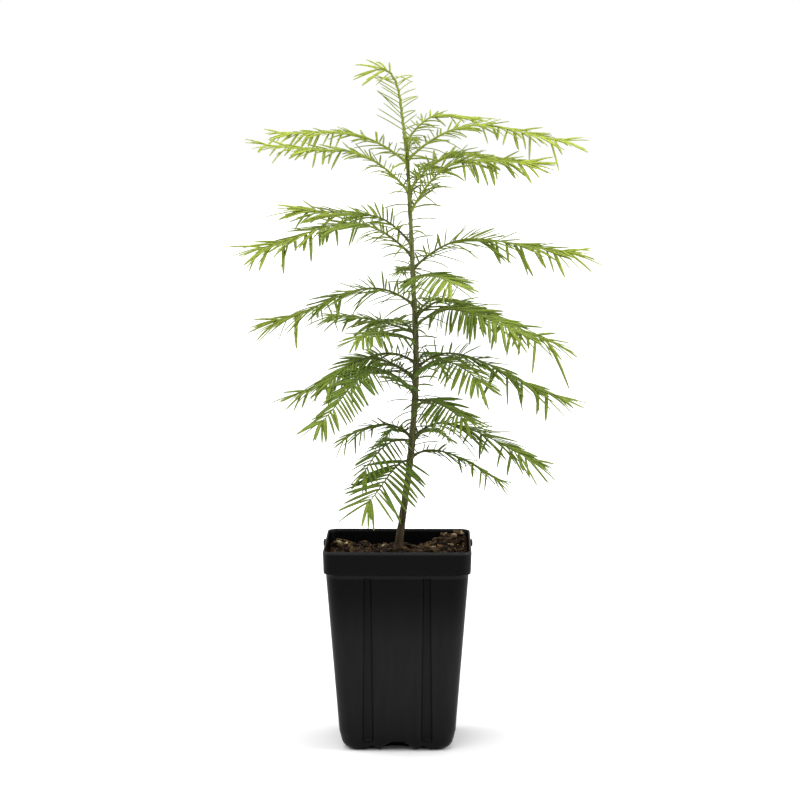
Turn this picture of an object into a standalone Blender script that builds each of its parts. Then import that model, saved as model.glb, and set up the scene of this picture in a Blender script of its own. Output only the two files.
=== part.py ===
"""Potted dawn redwood: a young plant with a leaning stem in a tall square nursery pot.

Metres, +Z up. The origin is the middle of the pot's flat underside, and -Y is the plant's front.
The stem rises out of the soil to a nodding leader. Side shoots arch from its nodes, each one a
tapering three-sided twig with two ranks of flat needles fused to it.
"""
import math
import random

import bmesh
import bpy
from mathutils import Matrix, Vector
from mathutils.bvhtree import BVHTree

SEED = 41
GAP = 0.0003
SHARP_ANGLE = math.radians(35)

# Pot
POT_HEIGHT = 0.141
RIM_WIDTH = 0.1016
RIM_FOOT_WIDTH = 0.1006
RIM_BAND = 0.016
RIM_CORNER = 0.008
RIM_LEDGE = 0.0005
LIP_ROUNDING = 0.0005
BODY_TOP_WIDTH = 0.0976
BODY_TOP = 0.123
BASE_WIDTH = 0.0784
BODY_CORNER = 0.011
FOOT_RISE = 0.0135
FOOT_INSET = 0.0022
FOOT_FILLET = 0.006
WALL = 0.0012
FLOOR_TOP = 0.0068
FLOOR_INSET = 0.004
CORNER_STEPS = 4

# Flutes, two pressed into each side of the pot
FLUTE_OFFSET = 0.0202
FLUTE_WIDTH_TOP = 0.0056
FLUTE_WIDTH_FOOT = 0.009
FLUTE_DEPTH = 0.0012
FLUTE_BED = 0.5
FLUTE_FOOT = 0.0085
FLUTE_TOP = 0.1225
FLUTE_TOP_RUNOUT = 0.002

# Drain openings and side lugs
NOTCH_WIDTH = 0.020
NOTCH_CROWN = 0.012
NOTCH_HEIGHT = 0.0054
NOTCH_REACH = 0.018
RISE_OFFSET = 0.0178
RISE_WIDTH = 0.0055
RISE_HEIGHT = 0.0013
RISE_REACH = 0.010
DRAIN_RADIUS = 0.0045
DRAIN_SIDES = 10
DRAIN_OFFSET = 0.0215
LUG_WIDTH = 0.012
LUG_HEIGHT = 0.0042
LUG_PROUD = 0.0013
LUG_DROP = 0.0002
LUG_BACK = 0.004

# Soil
SOIL_LEVEL = 0.134
SOIL_EDGE = 0.131
SOIL_RINGS = (0.93, 0.72, 0.50, 0.30)
SOIL_ROUGHNESS = 0.0008
STEM_SEAT = 0.006
MOUNDS = (
    # x, y, height, spread
    (0.038, 0.042, 0.0085, 0.0115),
    (-0.041, 0.036, 0.0055, 0.0090),
)

# Stem: height, then x and y of its centre line
STEM_LINE = (
    (0.1343, -0.0010, 0.0000),
    (0.1630, 0.0030, -0.0008),
    (0.2030, 0.0090, -0.0015),
    (0.2630, 0.0125, -0.0010),
    (0.3330, 0.0100, 0.0004),
    (0.3930, 0.0072, 0.0008),
    (0.4210, 0.0050, 0.0004),
)
STEM_FOOT_RADIUS = 0.0025
STEM_TIP_RADIUS = 0.0011
ROOT_FLARE = 0.0011
FLARE_HEIGHT = 0.007
NODE_SWELL = 0.00025
NODE_SPREAD = 0.004
STEM_SIDES = 8
STEM_RINGS = 13
FLARE_RINGS = (0.0, 0.002, 0.005, 0.010)

# Leader, the green nodding tip above the stem: x, y and height
LEADER_LINE = (
    (0.0047, 0.0004, 0.4216),
    (0.0028, 0.0002, 0.4360),
    (0.0008, 0.0000, 0.4505),
    (-0.0028, -0.0002, 0.4610),
    (-0.0082, -0.0004, 0.4665),
    (-0.0140, -0.0006, 0.4670),
)

# Side shoots, from the top down: name, height of the foot, bearing in degrees (0 right, 90 back,
# 180 left), reach from the stem, where the arch crests and how high, height of the tip above the
# foot, and how far the tip levels out again (0 keeps falling, 1 runs out level)
SHOOTS = (
    ("shoot_right_1", 0.417, 35, 0.062, 0.030, 0.019, 0.015, 0.0),
    ("shoot_right_2", 0.405, 0, 0.114, 0.049, 0.024, 0.013, 1.0),
    ("shoot_left_1", 0.403, 170, 0.096, 0.050, 0.021, 0.020, 1.0),
    ("shoot_back_1", 0.407, 80, 0.048, 0.024, 0.013, 0.009, 0.0),
    ("shoot_right_3", 0.384, 38, 0.074, 0.044, 0.025, 0.022, 0.0),
    ("shoot_left_2", 0.383, 185, 0.105, 0.049, 0.029, 0.034, 0.0),
    ("shoot_back_2", 0.379, 72, 0.070, 0.040, 0.022, 0.014, 0.0),
    ("shoot_right_4", 0.369, -10, 0.089, 0.039, 0.036, 0.034, 0.0),
    ("shoot_left_3", 0.347, 158, 0.088, 0.034, 0.020, 0.023, 0.8),
    ("shoot_left_4", 0.339, 188, 0.110, 0.042, 0.023, 0.006, 0.8),
    ("shoot_right_5", 0.330, 0, 0.113, 0.041, 0.021, 0.012, 1.0),
    ("shoot_back_3", 0.328, 100, 0.046, 0.022, 0.002, -0.005, 0.0),
    ("shoot_right_6", 0.324, -68, 0.068, 0.033, 0.004, -0.001, 0.0),
    ("shoot_left_5", 0.305, 180, 0.102, 0.029, 0.012, -0.011, 1.0),
    ("shoot_right_7", 0.296, 2, 0.104, 0.020, 0.012, -0.022, 0.9),
    ("shoot_back_4", 0.297, 60, 0.085, 0.028, 0.011, -0.006, 0.3),
    ("shoot_right_8", 0.290, -42, 0.073, 0.024, 0.009, -0.007, 0.0),
    ("shoot_left_6", 0.286, 158, 0.070, 0.056, 0.010, 0.009, 0.0),
    ("shoot_back_5", 0.284, 116, 0.080, 0.030, 0.009, -0.008, 0.3),
    ("shoot_left_7", 0.280, 222, 0.060, 0.033, 0.008, 0.004, 0.0),
    ("shoot_left_8", 0.265, 178, 0.088, 0.019, 0.007, -0.026, 0.8),
    ("shoot_right_9", 0.261, 3, 0.106, 0.022, 0.011, -0.021, 0.9),
    ("shoot_back_6", 0.261, 78, 0.078, 0.028, 0.009, -0.011, 0.3),
    ("shoot_right_10", 0.257, -50, 0.070, 0.028, 0.010, -0.008, 0.0),
    ("shoot_left_9", 0.255, 208, 0.074, 0.040, 0.015, -0.005, 0.3),
    ("shoot_back_7", 0.252, 130, 0.082, 0.030, 0.010, -0.014, 0.3),
    ("shoot_left_10", 0.243, 230, 0.096, 0.044, 0.021, -0.011, 0.9),
    ("shoot_right_11", 0.239, -55, 0.063, 0.017, 0.002, -0.009, 0.5),
    ("shoot_back_8", 0.235, 58, 0.070, 0.020, 0.002, -0.017, 0.3),
    ("shoot_right_12", 0.212, -10, 0.090, 0.021, 0.012, -0.018, 0.5),
    ("shoot_left_11", 0.213, 165, 0.056, 0.019, 0.009, -0.005, 0.4),
    ("shoot_left_12", 0.210, 222, 0.052, 0.012, 0.003, -0.025, 0.0),
    ("shoot_back_9", 0.211, 112, 0.062, 0.022, 0.007, -0.012, 0.3),
    ("shoot_back_10", 0.208, 62, 0.070, 0.022, 0.007, -0.012, 0.3),
    ("shoot_right_13", 0.199, 18, 0.063, 0.014, 0.004, -0.021, 0.4),
    ("shoot_left_13", 0.197, 245, 0.069, 0.010, 0.001, -0.022, 0.8),
)
SHOOT_BEND = 4.0
SHOOT_RUNS = 8
FOOT_CROWDING = 1.25
TWIG_FOOT_RADIUS = 0.0010
TWIG_TIP_RADIUS = 0.00055
TWIG_SIDES = 3
LEADER_RUNS = 10

# Needles: their spacing and size along a shoot, larger than life because they are fewer
NEEDLE_SPACING = 0.0100
FIRST_NEEDLE = 0.009
LAST_NEEDLE = 0.001
RANK_OFFSET = 0.002
NEEDLE_FOOT_LENGTH = 0.0125
NEEDLE_MID_LENGTH = 0.0200
NEEDLE_TIP_LENGTH = 0.0145
LONGEST_FROM = 0.4
LONGEST_TO = 0.8
NEEDLE_WIDTH = 0.0026
NEEDLE_THICKNESS = 0.0007
NEEDLE_BELLY = -0.10
ROOT_DEPTH = 0.7
NEEDLE_TILT = 42.0
TILT_LOSS = 0.25
SPREAD_SCATTER = 6.0
LENGTH_SCATTER = 0.08
CLEARANCE = 0.0004

# How needles stand. Their two ranks keep square to a plane's direction. They open from the twig by
# an angle, which the outer rank widens by outer_gain along the twig, and which closes to another at
# the tip, from a share of the length on. They hang lower towards the tip, by an angle times a power
# of the share. The foot's cut follows foot_edge.
SHOOT_HABIT = {
    "plane": Vector((0, 0, 1)),
    "spread": 64.0,
    "outer_gain": 0.0,
    "tip_spread": 24.0,
    "closing_from": 0.55,
    "droop": 45.0,
    "droop_power": 0.8,
    "foot_edge": Vector((0, 0, 1)),
}
LEADER_HABIT = {
    "plane": Vector((0, 1, 0)),
    "spread": 46.0,
    "outer_gain": 28.0,
    "tip_spread": 28.0,
    "closing_from": 0.80,
    "droop": 60.0,
    "droop_power": 2.0,
    "foot_edge": Vector((1, 0, 0)),
}

BLACK_PLASTIC = (0.012, 0.012, 0.013)
BARK_MIX = (0.060, 0.032, 0.016)
BARK = (0.105, 0.075, 0.038)
LOW_GREEN = (0.075, 0.180, 0.022)
TOP_GREEN = (0.330, 0.490, 0.050)
LOW_GREEN_HEIGHT = 0.193
TOP_GREEN_HEIGHT = 0.433
GREEN_TURN = 1.5


def clear_scene():
    """Remove the objects that a new file starts with."""
    for item in list(bpy.data.objects):
        bpy.data.objects.remove(item, do_unlink=True)


def make_material(name, colour, roughness):
    """A plain Principled material."""
    material = bpy.data.materials.new(name)
    material.use_nodes = True
    shader = material.node_tree.nodes["Principled BSDF"]
    shader.inputs["Base Color"].default_value = (*colour, 1.0)
    shader.inputs["Roughness"].default_value = roughness
    material.diffuse_color = (*colour, 1.0)
    return material


def make_object(name, shape, collection=None):
    """Put a bmesh into a new object, with its faces pointing out."""
    bmesh.ops.recalc_face_normals(shape, faces=shape.faces)
    mesh = bpy.data.meshes.new(name)
    shape.to_mesh(mesh)
    shape.free()
    item = bpy.data.objects.new(name, mesh)
    (collection or bpy.context.scene.collection).objects.link(item)
    return item


def dress(item, material):
    """Cut an object's faces into triangles, and give it its material and smooth shading."""
    shape = bmesh.new()
    shape.from_mesh(item.data)
    bmesh.ops.triangulate(shape, faces=shape.faces)
    shape.to_mesh(item.data)
    shape.free()
    item.data.materials.clear()
    item.data.materials.append(material)
    item.data.shade_smooth()
    item.data.set_sharp_from_angle(angle=SHARP_ANGLE)


def loft(shape, rings):
    """Join rings of equally many points with faces, and close both ends."""
    rows = [[shape.verts.new(point) for point in ring] for ring in rings]
    count = len(rows[0])
    for low, high in zip(rows, rows[1:]):
        for i in range(count):
            j = (i + 1) % count
            shape.faces.new((low[i], low[j], high[j], high[i]))
    shape.faces.new(reversed(rows[0]))
    shape.faces.new(rows[-1])


def combine(item, tools, operation, solver):
    """Apply one Boolean of a whole collection to an object, and remove the collection's objects."""
    modifier = item.modifiers.new("combine", "BOOLEAN")
    modifier.operation = operation
    modifier.operand_type = "COLLECTION"
    modifier.collection = tools
    modifier.solver = solver
    depsgraph = bpy.context.evaluated_depsgraph_get()
    finished = bpy.data.meshes.new_from_object(item.evaluated_get(depsgraph))
    item.modifiers.clear()
    item.data = finished
    for tool in list(tools.objects):
        bpy.data.objects.remove(tool, do_unlink=True)
    bpy.data.collections.remove(tools)


def new_collection(name):
    """An empty collection in the scene, for the pieces of a Boolean."""
    tools = bpy.data.collections.new(name)
    bpy.context.scene.collection.children.link(tools)
    return tools


def keep_largest_shell(item):
    """Drop loose scraps and the walls of sealed hollows, so one outer shell is left."""
    shape = bmesh.new()
    shape.from_mesh(item.data)
    waiting = set(shape.faces)
    shells = []
    while waiting:
        shell = {waiting.pop()}
        edge_of_shell = list(shell)
        while edge_of_shell:
            face = edge_of_shell.pop()
            near = {other for edge in face.edges for other in edge.link_faces} & waiting
            waiting -= near
            shell |= near
            edge_of_shell.extend(near)
        shells.append(shell)
    largest = max(shells, key=lambda shell: sum(face.calc_area() for face in shell))
    spare = [face for face in shape.faces if face not in largest]
    bmesh.ops.delete(shape, geom=spare, context="FACES")
    shape.to_mesh(item.data)
    shape.free()


def mix(a, b, share):
    """A value part of the way from a to b."""
    return a + (b - a) * share


def body_width(z):
    """Outer width of the pot's tapering body at a height, drawn in further at its foot."""
    drawn_in = FOOT_INSET * max(0, 1 - z / FOOT_RISE)
    return mix(BASE_WIDTH, BODY_TOP_WIDTH, z / BODY_TOP) - 2 * drawn_in


def pot_outline(z, width, corner, flute):
    """Points round a rounded square at height z, with two flutes pressed into each side."""
    half = width / 2
    flute_width = mix(FLUTE_WIDTH_FOOT, FLUTE_WIDTH_TOP, z / BODY_TOP)
    side = []
    for centre in (-FLUTE_OFFSET, FLUTE_OFFSET):
        for edge, depth in ((-1, 0), (-FLUTE_BED, flute), (FLUTE_BED, flute), (1, 0)):
            side.append(Vector((centre + edge * flute_width / 2, depth - half, z)))
    for step in range(CORNER_STEPS + 1):
        angle = math.radians(90) * (step / CORNER_STEPS - 1)
        turn = Vector((math.cos(angle), math.sin(angle), 0)) * corner
        side.append(Vector((half - corner, corner - half, z)) + turn)
    ring = []
    for quarter in range(4):
        spin = Matrix.Rotation(math.radians(90) * quarter, 3, "Z")
        ring.extend(spin @ point for point in side)
    return ring


def pot_rings():
    """Rings of the pot's skin: up the outside, over the lip and down the inside to the floor."""
    rings = []
    for angle in (0, 30, 60, 90):
        inset = FOOT_FILLET * (1 - math.sin(math.radians(angle)))
        z = FOOT_FILLET * (1 - math.cos(math.radians(angle)))
        rings.append(pot_outline(z, body_width(z) - 2 * inset, BODY_CORNER - inset, 0))
    for z, flute in flute_levels():
        rings.append(pot_outline(z, body_width(z), BODY_CORNER, flute))
    rim_foot = POT_HEIGHT - RIM_BAND
    shoulder = (BODY_TOP_WIDTH + RIM_FOOT_WIDTH) / 2
    rings.append(pot_outline(BODY_TOP, BODY_TOP_WIDTH, BODY_CORNER, 0))
    rings.append(pot_outline(rim_foot - RIM_LEDGE, shoulder, RIM_CORNER, 0))
    rings.append(pot_outline(rim_foot, RIM_FOOT_WIDTH, RIM_CORNER, 0))
    rings.append(pot_outline(POT_HEIGHT - LIP_ROUNDING, RIM_WIDTH, RIM_CORNER, 0))
    rings.append(pot_outline(POT_HEIGHT, RIM_WIDTH - 2 * LIP_ROUNDING, RIM_CORNER, 0))
    inner_rim = RIM_WIDTH - 2 * WALL
    inner_corner = RIM_CORNER - WALL
    rings.append(pot_outline(POT_HEIGHT, inner_rim, inner_corner, 0))
    rings.append(pot_outline(rim_foot + WALL, RIM_FOOT_WIDTH - 2 * WALL, inner_corner, 0))
    for z, flute in [(BODY_TOP, 0)] + flute_levels()[::-1]:
        rings.append(pot_outline(z, body_width(z) - 2 * WALL, BODY_CORNER - WALL, flute))
    floor_width = body_width(FLOOR_TOP) - 2 * WALL - FLOOR_INSET
    rings.append(pot_outline(FLOOR_TOP, floor_width, BODY_CORNER - WALL, 0))
    return rings


def flute_levels():
    """Heights and depths where the flutes begin, reach full depth and end, from the foot up."""
    return [
        (FLUTE_FOOT, 0),
        (FOOT_RISE, FLUTE_DEPTH),
        (FLUTE_TOP - FLUTE_TOP_RUNOUT, FLUTE_DEPTH),
        (FLUTE_TOP, 0),
    ]


def add_prism(tools, name, outline, start, end, turn):
    """A cutter: an outline of x and z carried along y from start to end, then turned about z."""
    shape = bmesh.new()
    spin = Matrix.Rotation(turn, 3, "Z")
    loft(shape, [[spin @ Vector((x, y, z)) for x, z in outline] for y in (start, end)])
    return make_object(name, shape, tools)


def add_drain_cutters(tools):
    """Cutters for the mid-side notches, the low rises beside them and the round drain holes."""
    below = -0.002
    outside = -BASE_WIDTH
    edge = -BASE_WIDTH / 2
    slope = (NOTCH_WIDTH - NOTCH_CROWN) / 2 / NOTCH_HEIGHT
    flare = slope * -below
    notch = [
        (-NOTCH_WIDTH / 2 - flare, below),
        (NOTCH_WIDTH / 2 + flare, below),
        (NOTCH_CROWN / 2, NOTCH_HEIGHT),
        (-NOTCH_CROWN / 2, NOTCH_HEIGHT),
    ]
    for quarter in range(4):
        turn = math.radians(90) * quarter
        add_prism(tools, "notch", notch, outside, edge + NOTCH_REACH, turn)
        for centre in (-RISE_OFFSET, RISE_OFFSET):
            rise = [
                (centre - RISE_WIDTH, below),
                (centre + RISE_WIDTH, below),
                (centre, RISE_HEIGHT),
            ]
            add_prism(tools, "rise", rise, outside, edge + RISE_REACH, turn)
        shape = bmesh.new()
        spot = Matrix.Rotation(turn, 3, "Z") @ Vector((DRAIN_OFFSET, DRAIN_OFFSET, 0))
        bmesh.ops.create_cone(
            shape, cap_ends=True, segments=DRAIN_SIDES, radius1=DRAIN_RADIUS, radius2=DRAIN_RADIUS,
            depth=4 * FLOOR_TOP, matrix=Matrix.Translation(spot))
        make_object("drain", shape, tools)


def add_lugs(tools):
    """The two small rounded lugs on the left and right of the rim."""
    for side in (-1, 1):
        shape = bmesh.new()
        bmesh.ops.create_cube(shape, size=1.0)
        size = Vector((2 * LUG_PROUD, LUG_WIDTH, LUG_HEIGHT))
        bmesh.ops.scale(shape, vec=size, verts=shape.verts)
        bmesh.ops.bevel(
            shape, geom=shape.edges[:], offset=LUG_PROUD / 2, segments=1, affect="EDGES")
        place = Vector((side * RIM_WIDTH / 2, LUG_BACK, POT_HEIGHT - LUG_DROP - LUG_HEIGHT / 2))
        bmesh.ops.translate(shape, vec=place, verts=shape.verts)
        make_object("lug", shape, tools)


def build_pot():
    """The square pot with its rim, flutes, lugs and drain openings."""
    shape = bmesh.new()
    loft(shape, pot_rings())
    pot = make_object("pot", shape)
    tools = new_collection("lugs")
    add_lugs(tools)
    combine(pot, tools, "UNION", "EXACT")
    tools = new_collection("drains")
    add_drain_cutters(tools)
    combine(pot, tools, "DIFFERENCE", "EXACT")
    dress(pot, make_material("black_plastic", BLACK_PLASTIC, 0.42))
    return pot


def soil_heap(x, y):
    """How much higher the soil lies at a place: level near the stem, heaped in two places."""
    heap = 0
    for centre_x, centre_y, height, spread in MOUNDS:
        away = (x - centre_x) ** 2 + (y - centre_y) ** 2
        heap += height * math.exp(-away / (2 * spread ** 2))
    return heap


def build_soil():
    """The bark mix that fills the pot, with a slightly rough surface."""
    draw = random.Random(SEED)
    inset = 2 * (WALL + GAP)
    corner = BODY_CORNER - WALL - GAP
    foot = FLOOR_TOP + GAP
    rings = []
    flute_room = 2 * FLUTE_DEPTH
    for z, further_in in ((foot, FLOOR_INSET), (FOOT_RISE, flute_room), (FLUTE_TOP, flute_room)):
        rings.append(pot_outline(z, body_width(z) - inset - further_in, corner, 0))
    edge = pot_outline(0, BODY_TOP_WIDTH - inset, corner, 0)
    rings.append([Vector((p.x, p.y, SOIL_EDGE + soil_heap(p.x, p.y))) for p in edge])
    for share in SOIL_RINGS:
        ring = [point * share for point in edge]
        for point in ring:
            point.z = mix(SOIL_LEVEL, SOIL_EDGE, share) + soil_heap(point.x, point.y)
            point.z += draw.uniform(-1, 1) * SOIL_ROUGHNESS
        rings.append(ring)
    seat = [point.normalized() * STEM_SEAT for point in edge]
    rings.append([Vector((point.x, point.y, SOIL_LEVEL)) for point in seat])
    shape = bmesh.new()
    loft(shape, rings)
    soil = make_object("soil", shape)
    dress(soil, make_material("bark_mix", BARK_MIX, 0.95))
    return soil


def glide(points, value):
    """Smooth reading at a value between points whose first number rises."""
    last = len(points) - 1
    i = max(0, min(last - 1, sum(1 for point in points if point[0] <= value) - 1))
    before, low, high, after = (points[max(0, min(last, i + k))] for k in (-1, 0, 1, 2))
    share = (value - low[0]) / (high[0] - low[0])
    result = []
    for axis in range(1, len(low)):
        rise_low = (high[axis] - before[axis]) / (high[0] - before[0])
        rise_high = (after[axis] - low[axis]) / (after[0] - low[0])
        run = high[0] - low[0]
        a = low[axis] * (1 + 2 * share) * (1 - share) ** 2
        b = high[axis] * (3 - 2 * share) * share ** 2
        c = rise_low * run * share * (1 - share) ** 2
        d = rise_high * run * share ** 2 * (share - 1)
        result.append(a + b + c + d)
    return result


def stem_centre(height):
    """Centre of the stem at a height."""
    x, y = glide(STEM_LINE, height)
    return Vector((x, y, height))


def stem_radius(height):
    """Radius of the stem: a straight taper, a root flare and a slight swelling at each node."""
    foot = STEM_LINE[0][0]
    tip = STEM_LINE[-1][0]
    radius = mix(STEM_FOOT_RADIUS, STEM_TIP_RADIUS, (height - foot) / (tip - foot))
    radius += ROOT_FLARE * math.exp(-(height - foot) / FLARE_HEIGHT)
    nearest = min(abs(height - shoot[1]) for shoot in SHOOTS)
    return radius + NODE_SWELL * math.exp(-(nearest / NODE_SPREAD) ** 2)


def section(centre, across, up, radius, sides):
    """A regular polygon round a path, with a flat top where it has three sides."""
    ring = []
    for i in range(sides):
        angle = math.radians(360) * (i + 0.25) / sides
        ring.append(centre + (across * math.cos(angle) + up * math.sin(angle)) * radius)
    return ring


def build_stem():
    """The whole woody stem, from a flat cut at the soil to the foot of the leader."""
    foot = STEM_LINE[0][0]
    tip = STEM_LINE[-1][0]
    heights = [foot + rise for rise in FLARE_RINGS]
    heights += [mix(heights[-1], tip, i / STEM_RINGS) for i in range(1, STEM_RINGS + 1)]
    across = Vector((1, 0, 0))
    back = Vector((0, 1, 0))
    shape = bmesh.new()
    loft(shape, [
        section(stem_centre(z), across, back, stem_radius(z), STEM_SIDES) for z in heights])
    stem = make_object("stem", shape)
    dress(stem, make_material("stem_bark", BARK, 0.8))
    return stem


def shoot_line(shoot, turn):
    """Function that gives a shoot's point at a distance out from the stem's axis."""
    _, foot, bearing, reach, crest_out, crest_up, tip_up, level = shoot
    centre = stem_centre(foot)

    def point(out):
        if out < crest_out:
            up = crest_up * (1 - (1 - out / crest_out) ** 2)
        else:
            s = (out - crest_out) / (reach - crest_out)
            up = crest_up - (crest_up - tip_up) * s * s * ((3 - 2 * s) * level + 1 - level)
        angle = math.radians(bearing + turn * out / reach)
        return centre + Vector((out * math.cos(angle), out * math.sin(angle), up))

    return point


def measured_path(points):
    """Distances along a path, from its first point."""
    lengths = [0.0]
    for a, b in zip(points, points[1:]):
        lengths.append(lengths[-1] + (b - a).length)
    return lengths


def shoot_path(shoot, turn):
    """Points along a shoot from just clear of the stem to its tip, closer near the steep foot."""
    start = stem_radius(shoot[1]) + GAP
    line = shoot_line(shoot, turn)
    shares = [(i / SHOOT_RUNS) ** FOOT_CROWDING for i in range(SHOOT_RUNS + 1)]
    return [line(mix(start, shoot[3], share)) for share in shares]


def leader_path():
    """Points along the leader, starting just clear of the stem's tip."""
    knots = [(i, *point) for i, point in enumerate(LEADER_LINE)]
    last = len(LEADER_LINE) - 1
    return [Vector(glide(knots, last * i / LEADER_RUNS)) for i in range(LEADER_RUNS + 1)]


def build_twig(name, points, habit):
    """A tapering three-sided twig along a path, whose first section faces the stem squarely."""
    lengths = measured_path(points)
    rings = []
    for i, point in enumerate(points):
        ahead = (points[min(i + 1, len(points) - 1)] - points[max(i - 1, 0)]).normalized()
        if i == 0:
            ahead = (ahead - ahead.project(habit["foot_edge"])).normalized()
        side = ahead.cross(habit["plane"]).normalized()
        radius = mix(TWIG_FOOT_RADIUS, TWIG_TIP_RADIUS, lengths[i] / lengths[-1])
        rings.append(section(point, side, side.cross(ahead), radius, TWIG_SIDES))
    shape = bmesh.new()
    loft(shape, rings)
    return make_object(name, shape)


def read_path(points, lengths, distance):
    """Point and direction at a distance along a path."""
    i = max(1, min(len(points) - 1, sum(1 for length in lengths if length <= distance)))
    share = (distance - lengths[i - 1]) / (lengths[i] - lengths[i - 1])
    ahead = (points[i] - points[i - 1]).normalized()
    return points[i - 1].lerp(points[i], share), ahead


def needle_size(share, draw):
    """Length of a needle at a share of its shoot: short at the foot, long in the middle."""
    if share < LONGEST_FROM:
        length = mix(NEEDLE_FOOT_LENGTH, NEEDLE_MID_LENGTH, share / LONGEST_FROM)
    else:
        beyond = max(0, share - LONGEST_TO) / (1 - LONGEST_TO)
        length = mix(NEEDLE_MID_LENGTH, NEEDLE_TIP_LENGTH, beyond)
    return length * (1 + draw.uniform(-1, 1) * LENGTH_SCATTER)


def needle_aim(ahead, side_sign, share, habit, draw):
    """Direction of a needle: out to one side of its shoot, tilted to the light and drooping."""
    level = ahead.cross(habit["plane"]).normalized() * side_sign
    tilt = NEEDLE_TILT * level.y * (1 - TILT_LOSS * share)
    lift = math.radians(tilt - habit["droop"] * share ** habit["droop_power"])
    outward = level * math.cos(lift) + Vector((0, 0, math.sin(lift)))
    closing = max(0, share - habit["closing_from"]) / (1 - habit["closing_from"])
    widening = habit["outer_gain"] * share if side_sign < 0 else 0
    opening = mix(habit["spread"] + widening, habit["tip_spread"], closing)
    angle = math.radians(opening + draw.uniform(-1, 1) * SPREAD_SCATTER)
    return (ahead * math.cos(angle) + outward * math.sin(angle)).normalized()


def shape_needle(root, aim, flat, length, extra):
    """A flat needle of eight faces from its root; extra widens it all round for a clearance test."""
    across = aim.cross(flat).normalized()
    flat = across.cross(aim).normalized()
    shape = bmesh.new()
    bmesh.ops.create_uvsphere(shape, u_segments=4, v_segments=2, radius=1.0)
    for vert in shape.verts:
        if abs(vert.co.z) < 0.5:
            vert.co.z = NEEDLE_BELLY
    size = Matrix.Diagonal((
        NEEDLE_WIDTH / 2 + extra, NEEDLE_THICKNESS / 2 + extra, length / 2 + extra, 1))
    turn = Matrix((across, flat, aim)).transposed().to_4x4()
    place = Matrix.Translation(root + aim * length / 2)
    bmesh.ops.transform(shape, matrix=place @ turn @ size, verts=shape.verts)
    return shape


def is_clear(shape, obstacles):
    """Whether a shape crosses none of the obstacles."""
    tree = BVHTree.FromBMesh(shape)
    return not any(tree.overlap(other) for other in obstacles)


def surface_of(item):
    """The surface of a finished object, for clearance tests."""
    shape = bmesh.new()
    shape.from_mesh(item.data)
    tree = BVHTree.FromBMesh(shape)
    shape.free()
    return tree


def grow_needles(name, points, habit, obstacles, draw):
    """Collection of the needles of one shoot that keep clear of everything else."""
    tools = new_collection(name + "_needles")
    lengths = measured_path(points)
    total = lengths[-1]
    pairs = round((total - FIRST_NEEDLE) / NEEDLE_SPACING)
    for pair in range(pairs + 1):
        for side_sign in (-1, 1):
            distance = mix(FIRST_NEEDLE, total - LAST_NEEDLE, pair / pairs)
            if side_sign > 0 and pair < pairs:
                distance -= RANK_OFFSET
            share = distance / total
            point, ahead = read_path(points, lengths, distance)
            aim = needle_aim(ahead, side_sign, share, habit, draw)
            radius = mix(TWIG_FOOT_RADIUS, TWIG_TIP_RADIUS, share)
            length = needle_size(share, draw) + ROOT_DEPTH * radius
            root = point - aim * ROOT_DEPTH * radius
            flat = ahead.cross(aim) * side_sign
            guard = shape_needle(root, aim, flat, length, CLEARANCE)
            if is_clear(guard, obstacles):
                make_object("needle", shape_needle(root, aim, flat, length, 0), tools)
            guard.free()
    return tools


def leaf_colour(height):
    """Green that turns yellower and lighter towards the top of the plant."""
    share = (height - LOW_GREEN_HEIGHT) / (TOP_GREEN_HEIGHT - LOW_GREEN_HEIGHT)
    share = max(0, min(1, share)) ** GREEN_TURN
    return [mix(low, top, share) for low, top in zip(LOW_GREEN, TOP_GREEN)]


def build_crown(solids):
    """The leader and every side shoot, each one twig with its needles joined to it."""
    draw = random.Random(SEED)
    plans = [("leader", LEADER_LINE[0][2], leader_path(), LEADER_HABIT)]
    for shoot in SHOOTS:
        turn = draw.uniform(-1, 1) * SHOOT_BEND
        plans.append((shoot[0], shoot[1], shoot_path(shoot, turn), SHOOT_HABIT))
    twigs = [build_twig(name, points, habit) for name, _, points, habit in plans]
    surfaces = [surface_of(twig) for twig in twigs]
    fixed = [surface_of(solid) for solid in solids]
    for i, (name, height, points, habit) in enumerate(plans):
        others = fixed + surfaces[:i] + surfaces[i + 1:]
        needles = grow_needles(name, points, habit, others, draw)
        combine(twigs[i], needles, "UNION", "EXACT")
        keep_largest_shell(twigs[i])
        surfaces[i] = surface_of(twigs[i])
        dress(twigs[i], make_material(name + "_green", leaf_colour(height), 0.5))
    return twigs


def main():
    clear_scene()
    pot = build_pot()
    soil = build_soil()
    stem = build_stem()
    build_crown([pot, soil, stem])


main()
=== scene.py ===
"""Looks of the potted dawn redwood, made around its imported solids.

Metres, +Z up, -Y the front. The pot, the bark mix and the stem keep the sizes of their solids and
are made again with their fine shapes. Every side shoot follows the arch of its solid and grows a
finer twig with two ranks of thin needles, in the tints of old and new growth.
"""
import math
import random

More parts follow.
